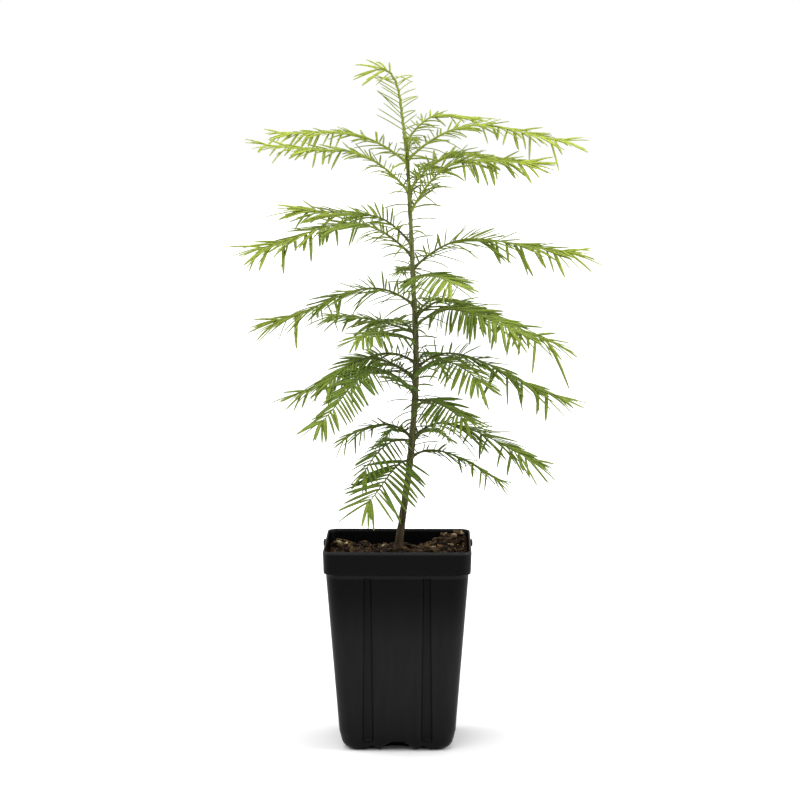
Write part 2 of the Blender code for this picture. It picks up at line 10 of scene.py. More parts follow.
import bpy
import numpy as np
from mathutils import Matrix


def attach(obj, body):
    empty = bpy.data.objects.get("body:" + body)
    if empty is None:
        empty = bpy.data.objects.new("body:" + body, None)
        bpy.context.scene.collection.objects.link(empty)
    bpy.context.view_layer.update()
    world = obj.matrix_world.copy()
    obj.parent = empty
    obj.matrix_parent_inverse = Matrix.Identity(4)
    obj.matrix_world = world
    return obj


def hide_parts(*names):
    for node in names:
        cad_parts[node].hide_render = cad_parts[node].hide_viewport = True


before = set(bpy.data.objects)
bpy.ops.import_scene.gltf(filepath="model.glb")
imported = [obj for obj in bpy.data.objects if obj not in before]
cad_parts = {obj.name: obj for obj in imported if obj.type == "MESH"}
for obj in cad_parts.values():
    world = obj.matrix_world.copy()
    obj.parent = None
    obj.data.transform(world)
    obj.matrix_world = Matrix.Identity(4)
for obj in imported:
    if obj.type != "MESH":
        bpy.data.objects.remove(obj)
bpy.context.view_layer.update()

SEED = 41
HILL_WAVES = 26

# Pot
POT_HEIGHT = 0.141
RIM_WIDTH = 0.1016
RIM_FOOT_WIDTH = 0.1006
RIM_BAND = 0.016
RIM_CORNER = 0.008
RIM_LEDGE = 0.0005
LIP_INSET = 0.0008
LIP_DROP = 0.0019
LIP_INNER_RADIUS = 0.0003
BODY_TOP_WIDTH = 0.0976
BODY_TOP = 0.123
BASE_WIDTH = 0.0784
BODY_CORNER = 0.011
FOOT_RISE = 0.0135
FOOT_INSET = 0.0022
FOOT_FILLET = 0.006
SHOULDER_RADIUS = 0.0009
WALL = 0.0012
FLOOR_TOP = 0.0068
FLOOR_INSET = 0.004
FLUTE_OFFSET = 0.0202
FLUTE_WIDTH = (0.009, 0.0056)  # at the foot and at the top
FLUTE_DEPTH = (0.0028, 0.0015)
FLUTE_BED = 0.62
FLUTE_FOOT = 0.0045
FLUTE_FOOT_FULL = 0.009
FLUTE_TOP = 0.1229
FLUTE_TOP_RUNOUT = 0.0005
CORNER_COLUMNS = 12
SIDE_COLUMNS = (6, 5, 5, 5, 8, 5, 5, 5, 6)
FLUTE_STEPS = (0, 0, 1, 1, 0, 0, 1, 1, 0, 0)
POT_SHARP_FROM = 40

# Drain openings and side lugs
NOTCH_WIDTH = 0.02
NOTCH_CROWN = 0.012
NOTCH_HEIGHT = 0.0054
NOTCH_REACH = 0.018
NOTCH_FADE = 0.3
RISE_OFFSET = 0.0178
RISE_WIDTH = 0.006
RISE_HEIGHT = 0.0022
RISE_REACH = 0.012
RISE_FADE = 0.5
LIFT_FADE = 0.011
DRAIN_RADIUS = 0.0045
DRAIN_OFFSET = 0.0215
DRAIN_SIDES = 40
LUG_WIDTH = 0.012
LUG_HEIGHT = 0.0042
LUG_PROUD = 0.0013
LUG_DROP = 0.0002
LUG_BACK = 0.004
LUG_ROWS = 15
LUG_AROUND = 24

# Bark mix
SOIL_HEIGHTS = (0.134, 0.1285)  # in the middle and at the edge
SOIL_GAP = 0.0003
SOIL_ROUGHNESS = 0.0009
SOIL_RINGS = 60
SOIL_HILLS = (0.011, 0.0042)
MOUNDS = (
    # x, y, height, spread
    (0.041, 0.043, 0.0095, 0.0105),
    (-0.044, 0.041, 0.0036, 0.0085),
    (-0.014, 0.036, -0.0022, 0.012),
    (0.012, 0.038, -0.0014, 0.01),
)
CHIP_TINTS = {
    # name: linear colour, how many, length from and to, width's share of it from and to
    "bark_dark": ((0.022, 0.013, 0.008), 380, (0.0026, 0.0062), (0.35, 0.8)),
    "bark_brown": ((0.082, 0.049, 0.023), 360, (0.0024, 0.0056), (0.35, 0.8)),
    "bark_russet": ((0.125, 0.07, 0.028), 180, (0.0022, 0.005), (0.35, 0.8)),
    "bark_tan": ((0.3, 0.205, 0.105), 52, (0.0014, 0.0032), (0.35, 0.8)),
    "grit_pale": ((0.5, 0.43, 0.27), 60, (0.0009, 0.0018), (0.7, 1)),
}
CHIP_PLACES = (-0.94, -0.55, 0, 0.55, 0.94)
CHIP_AROUND = 8
CHIP_JITTER = 0.035
CHIP_SLOPE = 0.35
CHIP_ROLL = 0.5
CHIP_CLEARING = 0.0045
BEAD_SLIM = (0.8, 1)
BEADS = {
    # name: linear colour, then x, y and size of each large grain
    "bead_pale": ((0.52, 0.45, 0.22), (
        (-0.0424, 0.033, 0.0038), (-0.0374, 0.033, 0.003), (-0.0098, 0.019, 0.0034),
        (-0.005, 0.031, 0.0026), (0.0455, 0.007, 0.002))),
    "bead_tan": ((0.36, 0.235, 0.14), (
        (0.0246, 0.019, 0.0038), (0.0198, 0.0465, 0.0026), (0.0232, 0.0465, 0.0024),
        (0.0392, 0.0365, 0.0042), (0.045, 0.04, 0.0032), (0.0335, 0.045, 0.0036))),
}

# Stem: height, then x and y of its centre line
STEM_LINE = (
    (0.1343, 0.0001, 0),
    (0.163, 0.0039, -0.0008),
    (0.203, 0.009, -0.0015),
    (0.263, 0.0125, -0.001),
    (0.333, 0.01, 0.0004),
    (0.393, 0.0072, 0.0008),
    (0.421, 0.005, 0.0004),
)
STEM_RADII = (0.0025, 0.0011)  # at the foot and at the tip
ROOT_FLARE = 0.0011
FLARE_HEIGHT = 0.007
NODE_SWELL = 0.00025
NODE_SPREAD = 0.004
STEM_SINK = 0.0022
STEM_ROWS = 620
STEM_AROUND = 28
BARK_RELIEF = 0.055
BUD_BUMP = 0.00045
BUMP_HEIGHT = 0.0009
BUMP_TURN = 0.45
BARK_HILLS = (0.0013, 0.0006)

# Leader, the green nodding tip above the stem: x, y and height
LEADER_LINE = (
    (0.0047, 0.0004, 0.4216),
    (0.0028, 0.0002, 0.436),
    (0.0008, 0, 0.4505),
    (-0.0028, -0.0002, 0.461),
    (-0.0082, -0.0004, 0.4665),
    (-0.014, -0.0006, 0.467),
)

# Side shoots, from the top down: name, bearing in degrees (0 right, 90 back, 180 left), how far the
# tip levels out again (0 falls on, 1 runs out level), its needles' length against the rest, and in
# millimetres: the foot's height, reach, where the arch crests and how high, the tip above the foot
SHOOTS = (
    ("right_1", 35, 0, 0.92, 417, 62, 30, 19, 15),
    ("right_2", 0, 1, 0.85, 405, 114, 49, 24, 13),
    ("left_1", 170, 1, 0.8, 403, 96, 50, 21, 20),
    ("back_1", 80, 0, 0.62, 407, 48, 24, 13, 9),
    ("right_3", 38, 0, 1.14, 384, 74, 44, 25, 22),
    ("left_2", 185, 0, 0.8, 383, 105, 49, 29, 34),
    ("back_2", 72, 0, 0.68, 379, 70, 40, 22, 14),
    ("right_4", -10, 0, 1.12, 369, 89, 39, 36, 34),
    ("left_3", 158, 0.8, 1.18, 347, 88, 34, 20, 23),
    ("left_4", 188, 0.8, 1.14, 339, 110, 42, 23, 6),
    ("right_5", 0, 1, 1.18, 330, 113, 41, 21, 12),
    ("back_3", 100, 0, 0.84, 328, 46, 22, 2, -5),
    ("right_6", -68, 0, 1.1, 324, 68, 33, 4, -1),
    ("left_5", 180, 1, 1.14, 305, 102, 29, 12, -11),
    ("right_7", 2, 0.9, 1.16, 296, 100, 22, 13, -16),
    ("back_4", 60, 0.3, 1, 297, 85, 28, 11, -6),
    ("right_8", -38, 0, 1.24, 290, 86, 30, 14, 0),
    ("left_6", 158, 0, 0.9, 286, 70, 56, 10, 9),
    ("back_5", 116, 0.3, 1, 284, 80, 30, 9, -8),
    ("left_7", 222, 0, 0.92, 280, 60, 33, 8, 4),
    ("left_8", 178, 0.8, 1, 265, 88, 19, 7, -23),
    ("right_9", 3, 0.9, 1.14, 261, 104, 22, 11, -20),
    ("back_6", 78, 0.3, 0.78, 261, 78, 28, 9, -11),
    ("right_10", -50, 0, 1, 257, 70, 28, 12, -4),
    ("left_9", 208, 0.3, 0.94, 255, 74, 40, 15, -5),
    ("back_7", 130, 0.3, 1, 252, 82, 30, 10, -14),
    ("left_10", 228, 0.9, 0.9, 243, 104, 44, 21, -12),
    ("right_11", -55, 0.5, 1, 239, 63, 17, 2, -9),
    ("back_8", 58, 0.3, 0.7, 235, 70, 20, 2, -17),
    ("right_12", -10, 0.5, 1.22, 212, 90, 21, 12, -15),
    ("left_11", 165, 0.4, 0.7, 213, 56, 19, 9, -5),
    ("left_12", 222, 0, 0.72, 210, 52, 12, 3, -25),
    ("back_9", 112, 0.3, 0.68, 211, 62, 22, 7, -12),
    ("back_10", 62, 0.3, 0.56, 208, 70, 22, 8, -6),
    ("right_13", 18, 0.4, 0.72, 199, 69, 14, 5, -21),
    ("left_13", 245, 0.8, 1.26, 197, 69, 10, 1, -22),
)
SHOOT_BEND = 4
TWIG_ROWS = 64
TWIG_AROUND = 8
TWIG_RADII = (0.00085, 0.00034)
LEADER_TIP_RADIUS = 0.00065
TWIG_SHORTER = 0.006
TWIG_COLLAR = 0.0008
COLLAR_REACH = 0.0026
TWIG_SWAY = 0.00025
TWIG_RIPPLE = 0.1
TWIG_CROWDING = 1.15
LEADER_SINK = 0.001

# Needles: the first one's place, how they vary, and the tuft at a shoot's tip
FIRST_NEEDLE = 0.0025
LAST_NEEDLE = 0.0003
PLACE_SCATTER = 0.0008
OPENING_SCATTER = 9
LIFT_SCATTER = 11
LENGTH_SCATTER = 0.16
LENGTH_BOUNDS = (-0.4, 0.2)
WIDTH_SCATTER = 0.12
ROLL_SCATTER = 0.45
BOW_SCATTER = 0.45
SWING_SCATTER = 0.07
SWING_FORWARD = 0.02
TIP_CROWDING = 0.84
MISSING_SHARE = 0.04
TUFT_PLACES = (0.0048, 0.0033, 0.0019, 0.0006)
TUFT_REACH = 0.006
NEEDLE_THICKNESS = 0.00066
NEEDLE_RINGS = (0.03, 0.15, 0.4, 0.7, 0.92, 0.985)
NEEDLE_SWELL = (0.3, 0.42, 1.631)  # powers at the root and at the tip, and the scale to one

# How the needles of a shoot stand. A rank is a table: share of the shoot, degrees that a needle
# opens from the twig and lifts out of the plane, its share of the full length, how far it bows down,
# its share of the full width, and how far its face turns from straight up to square to the spray.
# The near rank looks along "towards", and some of it hangs from the middle of the shoot on. Evenness
# takes away scatter. Spacing, length and width are for the lowest and the highest shoot.
SHOOT_HABIT = {
    "plane": (0, 0, 1),
    "towards": (0, -1, 0),
    "far": (
        (0, 88, 54, 0.44, 0.02, 0.66, 0),
        (0.22, 70, 44, 0.54, 0.04, 0.7, 0),
        (0.4, 40, 24, 0.88, 0.05, 0.86, 0.1),
        (0.65, 29, 13, 1.04, 0.06, 0.94, 0.3),
        (0.86, 27, 10, 0.98, 0.07, 0.88, 0.5),
        (1, 26, 8, 1.02, 0.1, 0.72, 0.6),
    ),
    "near": (
        (0, 36, -38, 1.1, 0.22, 0.72, 0.3),
        (0.25, 34, -24, 1.16, 0.26, 0.76, 0.3),
        (0.42, 31, -13, 1.02, 0.16, 0.9, 0.6),
        (0.7, 34, -18, 0.94, 0.12, 0.98, 0.8),
        (1, 32, -20, 1, 0.14, 0.76, 0.8),
    ),
    "hanging": (
        (0.38, 78, -54, 0.58, 0.24, 1.08, 0.8),
        (0.7, 60, -56, 0.74, 0.28, 1.24, 1),
        (1, 44, -42, 0.74, 0.26, 1.1, 1),
    ),
    "hang_chance": 0.42,
    "hang_from": (0.4, 0.54),
    "evenness": 0,
    "tip_opening": 20,
    "spacing": (0.0026, 0.0022),
    "length": (0.0195, 0.0186),
    "width": (0.00208, 0.0019),
}

# The tidier ranks of a shoot that points to the front. Between the bounds, shares of its way that
# run straight to the front, they take over. Low in the crown they stand further apart. On a shoot
# that points as far to the back the needles lie flatter and few of them hang.
END_ON_FAR = (
    (0, 66, 8, 0.98, 0.12, 0.8, 0.5),
    (0.25, 62, 4, 1.16, 0.14, 1, 0.5),
    (0.6, 56, 0, 1.22, 0.12, 1.16, 0.6),
    (1, 42, -4, 0.98, 0.12, 1, 0.8),
)
END_ON_NEAR = (
    (0, 70, -14, 0.94, 0.12, 0.84, 0.4),
    (0.25, 74, -24, 1.12, 0.12, 1.08, 0.5),
    (0.6, 68, -30, 1.12, 0.12, 1.22, 0.7),
    (1, 42, -24, 0.94, 0.12, 1.04, 0.9),
)
END_ON_BOUNDS = (0.35, 0.68)
END_ON_WIDER_SPACING = 0.75
EVEN_SPACING_FROM = 0.45
END_ON_TIDIER = 0.55
AWAY_FLATTER = 0.75
AWAY_SHORTER = 0.2
HANG_BACK = 40
HANG_NEARNESS = 1.6
AWAY_FLATTER_FROM = 0.3
HANG_SCATTER = (0.16, 0.12, 0.12, 0.5, 0.05, 0)

# How the leader's needles stand
LEADER_HABIT = {
    "plane": (0, 1, 0),
    "towards": (-0.8, 0, -0.8),
    "far": (
        (0, 62, 0, 0.62, 0.2, 0.7, 0.3),
        (0.6, 66, 0, 0.74, 0.22, 0.7, 0.3),
        (0.74, 84, 0, 0.84, 0.32, 0.8, 0.5),
        (0.79, 120, 0, 0.62, 0.4, 0.85, 0.6),
        (0.82, 46, 0, 0.62, 0.38, 0.9, 0.7),
        (0.9, 30, 0, 0.84, 0.32, 0.9, 0.7),
        (1, 14, 0, 0.98, 0.28, 0.85, 0.7),
    ),
    "near": (
        (0, 42, 0, 1.12, 0.06, 0.6, 0.2),
        (0.6, 46, 0, 1.05, 0.08, 0.64, 0.25),
        (0.72, 50, 0, 0.86, 0.08, 0.8, 0.4),
        (0.8, 86, 0, 0.62, 0.08, 0.9, 0.7),
        (0.88, 62, 0, 0.76, 0.1, 0.9, 0.8),
        (0.95, 40, 0, 0.92, 0.12, 0.9, 0.8),
        (1, 24, 0, 0.98, 0.14, 0.85, 0.8),
    ),
    "hanging": ((0, 78, -58, 0.82, 0.22, 1, 1), (1, 78, -58, 0.82, 0.22, 1, 1)),
    "hang_chance": 0,
    "hang_from": (0.36, 0.56),
    "tip_opening": 22,
    "evenness": 0.4,
    "spacing": (0.0032, 0.0032),
    "length": (0.018, 0.018),
    "width": (0.0016, 0.0016),
}

# Thin needles that stand on the stem itself
STEM_NEEDLES = (0.208, 0.413, 0.0026)  # heights from and to, and the step between
STEM_NEEDLE_LENGTH = 0.019
STEM_NEEDLE_WIDTH = 0.0013
STEM_NEEDLE_ROLL = 0.8
STEM_NEEDLE_TURN = 0.2
STEM_NEEDLE_RISE = 0.18
STEM_NEEDLE_RISE_SCATTER = 0.15
STEM_NEEDLE_LENGTH_SCATTER = 0.22
STEM_NEEDLE_BOW = 0.2
STEM_NEEDLE_BOW_MORE = 0.22
GOLDEN_SHARE = 0.618034
GOLDEN_TURN = math.radians(137.5)

# Linear colours. The stops of the pot's dust and painted sheen are a share of the pot's height and a grey
BLACK = (0.004, 0.004, 0.0044)
# Painted shade under the rim and near the foot, a painted reflection that is lighter part way down, and
# painted highlight lines just under the rim band and along the lip
DUST_AND_SHEEN_STOPS = (
    (0.02, 0.0042), (0.1, 0.0068), (0.25, 0.0098), (0.42, 0.0106), (0.56, 0.0093), (0.64, 0.0064),
    (0.71, 0.004), (0.78, 0.002), (0.864, 0.0016), (0.871, 0.0095), (0.884, 0.0095), (0.888, 0.0022),
    (0.985, 0.0022), (0.991, 0.02),
)
DEEP_GREEN = (0.072, 0.122, 0.013)
FRESH_GREEN = (0.194, 0.264, 0.034)
YOUNG_GREEN = (0.43, 0.5, 0.068)
# How much darker a green the needles of shoots that point to the front or back take, as painted shade
PAINTED_SHADE_DARKER = 0.09
YOUNGER_UP = (0.62, 1.4)  # how much, and the power of the share of the way
YOUNGER_OUT = (0.42, 1.3)
AGE_SCATTER = 0.05
STEM_NEEDLE_OUT = 0.25
NEEDLE_TINTS = 9
TWIG_TINTS = {
    # finish: linear colour at the foot and at the tip
    "needles_bright": ((0.2, 0.25, 0.035), (0.32, 0.38, 0.05)),
    "needles_fresh": ((0.086, 0.098, 0.024), (0.175, 0.23, 0.028)),
    "needles_deep": ((0.066, 0.07, 0.02), (0.09, 0.135, 0.014)),
}
TWIG_GREENING = (0.012, 0.07)  # how far out it begins and ends
STEM_STOPS = (
    # height, linear colour
    (0.14, (0.062, 0.04, 0.022)),
    (0.16, (0.058, 0.046, 0.02)),
    (0.18, (0.088, 0.094, 0.026)),
    (0.205, (0.07, 0.066, 0.026)),
    (0.29, (0.078, 0.08, 0.026)),
    (0.335, (0.118, 0.128, 0.045)),
    (0.375, (0.13, 0.15, 0.04)),
    (0.402, (0.092, 0.106, 0.012)),
    (0.421, (0.165, 0.2, 0.03)),
)
CROWN_HEIGHTS = (0.193, 0.433)
ZONES_FROM = (0.272, 0.358)
NEEDLE_SLOTS = ("needles_deep", "needles_fresh", "needles_bright")

# Stage
FLOOR_REACH = 14.0
FLOOR_GLOW = (0.35, 1.2)  # how far out it begins and is full
SURROUND_LIGHT = 0.60
PLANT_MIDDLE = (0, 0, 0.22)
SOFTBOXES = (
    # name, place, width and height, watts
    ("softbox_top", (0, 0.05, 1.35), (1.0, 1.0), 11),
    ("softbox_front", (-0.35, -1.15, 1.35), (1.0, 0.8), 8),
    ("softbox_left", (-1.05, 0.20, 0.55), (0.5, 1.1), 6),
    ("softbox_right", (1.05, -0.25, 0.55), (0.5, 1.1), 8),
)
CAMERA_PLACE = (0.0241, -1.856, 0.4532)
CAMERA_DIP = 6.57
CAMERA_TURN = 0.7
CAMERA_LENS = 121.3
CAMERA_SENSOR = 36


def mix(a, b, share):
    """A value part of the way from a to b."""
    return a + (b - a) * share


def unit(vectors):
    """The same directions with length one."""
    return vectors / np.linalg.norm(vectors, axis=-1, keepdims=True)


def ease(share):
    """Smooth step: three times the share squared less twice its cube, held between 0 and 1."""
    held = np.clip(share, 0, 1)
    return held * held * (3 - 2 * held)


def round_angles(count, start=0):
    """Evenly spaced angles of a full turn, from a given part of a step on."""
    return math.tau * (np.arange(count) + start) / count


def rounded_block(places, angle, power):
    """The two sides of a rounded block's rings, at places along it from -1 to 1.

    A ring's size is the fourth root of one less the fourth power of its place, and its section is a
    superellipse: cosine and sine, raised to a power with their signs kept.
    """
    size = ((1 - places ** 4) ** 0.25)[:, None]
    return [size * (np.sign(side) * abs(side) ** power) for side in (np.cos(angle), np.sin(angle))]


def glide(knots, values):
    """Smooth readings at many values between knots whose first column rises.

    Each stretch is a cubic that meets its two knots, with the slopes that the chords between their
    own neighbours have.
    """
    knots = np.asarray(knots, float)
    place, rows = knots[:, 0], knots[:, 1:]
    last = len(place) - 1
    i = np.clip(np.searchsorted(place, values, side="right") - 1, 0, last - 1)
    before = np.maximum(i - 1, 0)
    after = np.minimum(i + 2, last)
    run = (place[i + 1] - place[i])[:, None]
    share = (values - place[i])[:, None] / run
    slope_low = (rows[i + 1] - rows[before]) / (place[i + 1] - place[before])[:, None]
    slope_high = (rows[after] - rows[i]) / (place[after] - place[i])[:, None]
    low = rows[i] * (1 + 2 * share) + slope_low * run * share
    high = rows[i + 1] * (3 - 2 * share) + slope_high * run * (share - 1)
    return low * (1 - share) ** 2 + high * share ** 2


def hills(points, size, seed):
    """Random hills about one high over points of space.

    They are the mean of sine waves of one length and of random directions and phases, times the
    square root of twice the number of waves.
    """
    draw = np.random.default_rng(seed)
    ways = unit(draw.normal(size=(HILL_WAVES, 3))) * (math.tau / size)
    phases = draw.uniform(0, math.tau, HILL_WAVES)
    return np.sin(points @ ways.T + phases).mean(axis=-1) * math.sqrt(2 * HILL_WAVES)


def closed_skin(rings, foot, top):
    """One skin from rings of equally many points and its two poles: points, rows and around."""
    rings = np.asarray(rings)
    points = np.concatenate([rings.reshape(-1, 3), [foot], [top]])
    return points[None], rings.shape[0], rings.shape[1]


def skin_mesh(name, skins):
    """A mesh of equal closed skins, each given as rows of points with its two poles last.

    Squares lie between the rows, and a fan goes to the pole at each end. The points have the shape
    (copies, rows * around + 2, 3).
    """
    points, rows, around = skins
    i = np.arange(around)
    j = (i + 1) % around
    low = (np.arange(rows - 1) * around)[:, None]
    squares = np.stack([low + i, low + j, low + around + j, low + around + i], axis=-1).reshape(-1, 4)
    foot = rows * around
    top = foot - around
    fans = np.concatenate([
        np.stack([np.full(around, foot), j, i], axis=-1),
        np.stack([np.full(around, foot + 1), top + i, top + j], axis=-1)])
    steps = np.arange(len(points))[:, None, None] * points.shape[1]
    faces = (squares + steps).reshape(-1, 4).tolist() + (fans + steps).reshape(-1, 3).tolist()
    mesh = bpy.data.meshes.new(name)
    mesh.from_pydata(points.reshape(-1, 3).tolist(), [], faces)
    return mesh


def add_object(name, data):
    """An object that holds a mesh, light or camera, put into the scene."""
    made = bpy.data.objects.new(name, data)
    bpy.context.scene.collection.objects.link(made)
    return made


def add_piece(name, skins, material, nodes):
    """One smooth-shaded object of closed skins, with its material and body, hiding the solids it stands for.
    """
    mesh = skin_mesh(name, skins)
    mesh.materials.append(material)
    mesh.shade_smooth()
    piece = add_object(name, mesh)
    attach(piece, "root")
    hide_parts(*nodes)
    return piece


def body_width(z):
    """Outer width of the pot's tapering body at a height, drawn in further at its foot."""
    drawn_in = FOOT_INSET * max(0, 1 - z / FOOT_RISE)
    return mix(BASE_WIDTH, BODY_TOP_WIDTH, z / BODY_TOP) - 2 * drawn_in


def flute_at(z):
    """Depth of the flutes: deeper low down, with a smooth step at their foot and at their top."""
    foot = ease((z - FLUTE_FOOT) / (FLUTE_FOOT_FULL - FLUTE_FOOT))
    top = ease((FLUTE_TOP - z) / FLUTE_TOP_RUNOUT)
    return mix(*FLUTE_DEPTH, z / BODY_TOP) * float(foot * top)


def pot_ring(z, width, corner, flute=0.0):
    """Points round a rounded square at height z, with two flutes pressed into each side.

    A side's points lie between knots across it. The flute's depth is a smooth step from its edge to
    its flat bed. A corner is a quarter circle, and the quarter ring is turned four times.
    """
    half = width / 2
    side_end = half - corner
    flute_half = mix(*FLUTE_WIDTH, z / BODY_TOP) / 2
    across = np.array([-1, -FLUTE_BED, FLUTE_BED, 1]) * flute_half
    knots = np.concatenate([[-side_end], across - FLUTE_OFFSET, across + FLUTE_OFFSET, [side_end]])
    places = np.concatenate([
        k + np.arange(count) / count for k, count in enumerate(SIDE_COLUMNS)] + [[len(knots) - 1.0]])
    x = np.interp(places, np.arange(len(knots)), knots)
    y = ease(np.interp(places, np.arange(len(knots)), FLUTE_STEPS)) * flute - half
    angle = math.radians(90) * (np.arange(1, CORNER_COLUMNS) / CORNER_COLUMNS - 1)
    x = np.append(x, side_end + corner * np.cos(angle))
    y = np.append(y, -side_end + corner * np.sin(angle))
    quarters = [np.column_stack([x, y])]
    for _ in range(3):
        x, y = quarters[-1].T
        quarters.append(np.column_stack([-y, x]))
    flat = np.concatenate(quarters)
    return np.column_stack([flat, np.full(len(flat), z)])


def drain_lift(points):
    """How far the pot's lower edge is lifted at points by the notches and rises of its sides.

    Seen along a side, a notch is a smooth step up to a level crown, and a rise is a cosine hump
    under each flute. Each fades inwards by a smooth step over a share of its reach.
    """
    lift = np.zeros(len(points))
    slope = (NOTCH_WIDTH - NOTCH_CROWN) / 2
    for quarter in range(4):
        turn = math.radians(90) * quarter
        sideways = abs(points[:, 0] * math.cos(turn) + points[:, 1] * math.sin(turn))
        outward = points[:, 0] * math.sin(turn) - points[:, 1] * math.cos(turn)
        inward = BASE_WIDTH / 2 - outward
        notch = NOTCH_HEIGHT * ease((NOTCH_WIDTH / 2 - sideways) / slope)
        notch = notch * ease((NOTCH_REACH - inward) / (NOTCH_FADE * NOTCH_REACH))
        offset = np.minimum(abs(sideways - RISE_OFFSET) / RISE_WIDTH, 1)
        rise = RISE_HEIGHT * (1 + np.cos(math.pi * offset)) / 2
        rise = rise * ease((RISE_REACH - inward) / (RISE_FADE * RISE_REACH))
        lift = np.maximum(lift, np.maximum(notch, rise))
    return lift


def lifted(ring):
    """A ring raised by the drain lift, which fades out in a straight line with height."""
    fade = np.clip(1 - ring[:, 2] / LIFT_FADE, 0, 1)
    ring[:, 2] += drain_lift(ring) * fade
    return ring


def arc_rings(width, z, across, up, start, end, count):
    """Rings round an elliptic arc of the pot's profile, whose outermost point has the given width.

    At an angle the ring lies in by across times one less the cosine, and higher by up times the sine.
    """
    rings = []
    for angle in np.radians(np.linspace(start, end, count)):
        inset = across * (1 - math.cos(angle))
        rings.append(pot_ring(z + up * math.sin(angle), width - 2 * inset, RIM_CORNER - inset))
    return rings


def body_heights():
    """Heights of the rings up the pot's body, closer where the flutes begin and end."""
    ending = FLUTE_TOP - FLUTE_TOP_RUNOUT
    low = np.linspace(FOOT_FILLET + 0.0004, FLUTE_FOOT_FULL, 6)
    spans = ((FLUTE_FOOT_FULL, FOOT_RISE, 5), (FOOT_RISE, ending, 26), (ending, FLUTE_TOP, 5))
    return np.concatenate([low, *(np.linspace(*span)[1:] for span in spans), [BODY_TOP]])


def pot_profile():
    """The pot's skin as rings: along the underside, up the outside, over the lip, down inside."""
    heights = body_heights()
    foot_width = BASE_WIDTH - 2 * FOOT_FILLET
    foot_corner = BODY_CORNER - FOOT_FILLET
    rings = [pot_ring(0, foot_width * share, foot_corner * share) for share in np.linspace(0.05, 0.97, 26)]
    for angle in np.radians(np.linspace(0, 90, 9)):
        inset = FOOT_FILLET * (1 - math.sin(angle))
        z = FOOT_FILLET * (1 - math.cos(angle))
        rings.append(pot_ring(z, body_width(z) - 2 * inset, BODY_CORNER - inset))
    rings += [pot_ring(z, body_width(z), BODY_CORNER, flute_at(z)) for z in heights]
    rings = [lifted(ring) for ring in rings]
    rim_foot = POT_HEIGHT - RIM_BAND
    rings.append(pot_ring(rim_foot - RIM_LEDGE, BODY_TOP_WIDTH, mix(BODY_CORNER, RIM_CORNER, 0.5)))
    shoulder = rim_foot + SHOULDER_RADIUS
    rings += arc_rings(RIM_FOOT_WIDTH, shoulder, SHOULDER_RADIUS, SHOULDER_RADIUS, -90, 0, 7)
    for share in (0.2, 0.5, 0.8):
        z = mix(rim_foot, POT_HEIGHT, share)
        rings.append(pot_ring(z, mix(RIM_FOOT_WIDTH, RIM_WIDTH, share), RIM_CORNER))
    rings += arc_rings(RIM_WIDTH, POT_HEIGHT - LIP_DROP, LIP_INSET, LIP_DROP, 0, 90, 9)
    inner_lip = RIM_WIDTH - 2 * (WALL - LIP_INNER_RADIUS)
    for angle in np.radians((90, 60, 30, 0)):
        z = POT_HEIGHT - LIP_INNER_RADIUS * (1 - math.sin(angle))
        rings.append(pot_ring(z, inner_lip - 2 * LIP_INNER_RADIUS * math.cos(angle), RIM_CORNER - WALL))
    for share in (0.2, 0.6, 1.0):
        width = mix(RIM_WIDTH, RIM_FOOT_WIDTH, share) - 2 * WALL
        rings.append(pot_ring(mix(POT_HEIGHT, rim_foot + WALL, share), width, RIM_CORNER - WALL))
    for z in heights[::-1]:
        rings.append(pot_ring(z, body_width(z) - 2 * WALL, BODY_CORNER - WALL, flute_at(z)))
    floor_width = body_width(FLOOR_TOP) - 2 * WALL - FLOOR_INSET
    for share in (1.0, 0.6, 0.2):
        rings.append(pot_ring(FLOOR_TOP, floor_width * share, (BODY_CORNER - WALL) * share))
    return rings


def build_pot():
    """The moulded pot: its skin of rings, lifted over the drain notches, with four round drains."""
    skin = closed_skin(pot_profile(), (0, 0, 0), (0, 0, FLOOR_TOP))
    pot = add_piece("pot_skin", skin, pot_plastic(), ["pot"])
    for x in (-DRAIN_OFFSET, DRAIN_OFFSET):
        for y in (-DRAIN_OFFSET, DRAIN_OFFSET):
            cut_drain(pot, x, y)
    pot.data.set_sharp_from_angle(angle=math.radians(POT_SHARP_FROM))


def cut_drain(pot, x, y):
    """Cut one round hole through the pot's floor, with a cylinder that is taken away."""
    angle = round_angles(DRAIN_SIDES)
    circle = np.column_stack([np.cos(angle), np.sin(angle), np.zeros(DRAIN_SIDES)]) * DRAIN_RADIUS
    foot, top = (x, y, -2 * FLOOR_TOP), (x, y, 2 * FLOOR_TOP)
    cutter = add_object("drain", skin_mesh("drain", closed_skin([circle + foot, circle + top], foot, top)))
    modifier = pot.modifiers.new("drain", "BOOLEAN")
    modifier.operation = "DIFFERENCE"
    modifier.solver = "MANIFOLD"
    modifier.object = cutter
    finished = bpy.data.meshes.new_from_object(pot.evaluated_get(bpy.context.evaluated_depsgraph_get()))
    pot.modifiers.clear()
    pot.data = finished
    bpy.data.objects.remove(cutter, do_unlink=True)


def build_lugs():
    """The two small rounded blocks on the left and right of the rim."""
    place = np.linspace(-0.98, 0.98, LUG_ROWS)
    across, up = rounded_block(place, round_angles(LUG_AROUND), 0.5)
    reach = np.array([0, LUG_WIDTH / 2, 0])
    skins = []
    for side in (-1, 1):
        centre = np.array([side * RIM_WIDTH / 2, LUG_BACK, POT_HEIGHT - LUG_DROP - LUG_HEIGHT / 2])
        y = (place * LUG_WIDTH / 2)[:, None] + np.zeros(LUG_AROUND)
        rings = np.stack([-across * LUG_PROUD, y, up * LUG_HEIGHT / 2], axis=-1) + centre
        skins.append(closed_skin(rings, centre - reach, centre + reach)[0])
    skin = (np.concatenate(skins), LUG_ROWS, LUG_AROUND)
    add_piece("rim_lugs", skin, pot_plastic(), ["pot"])


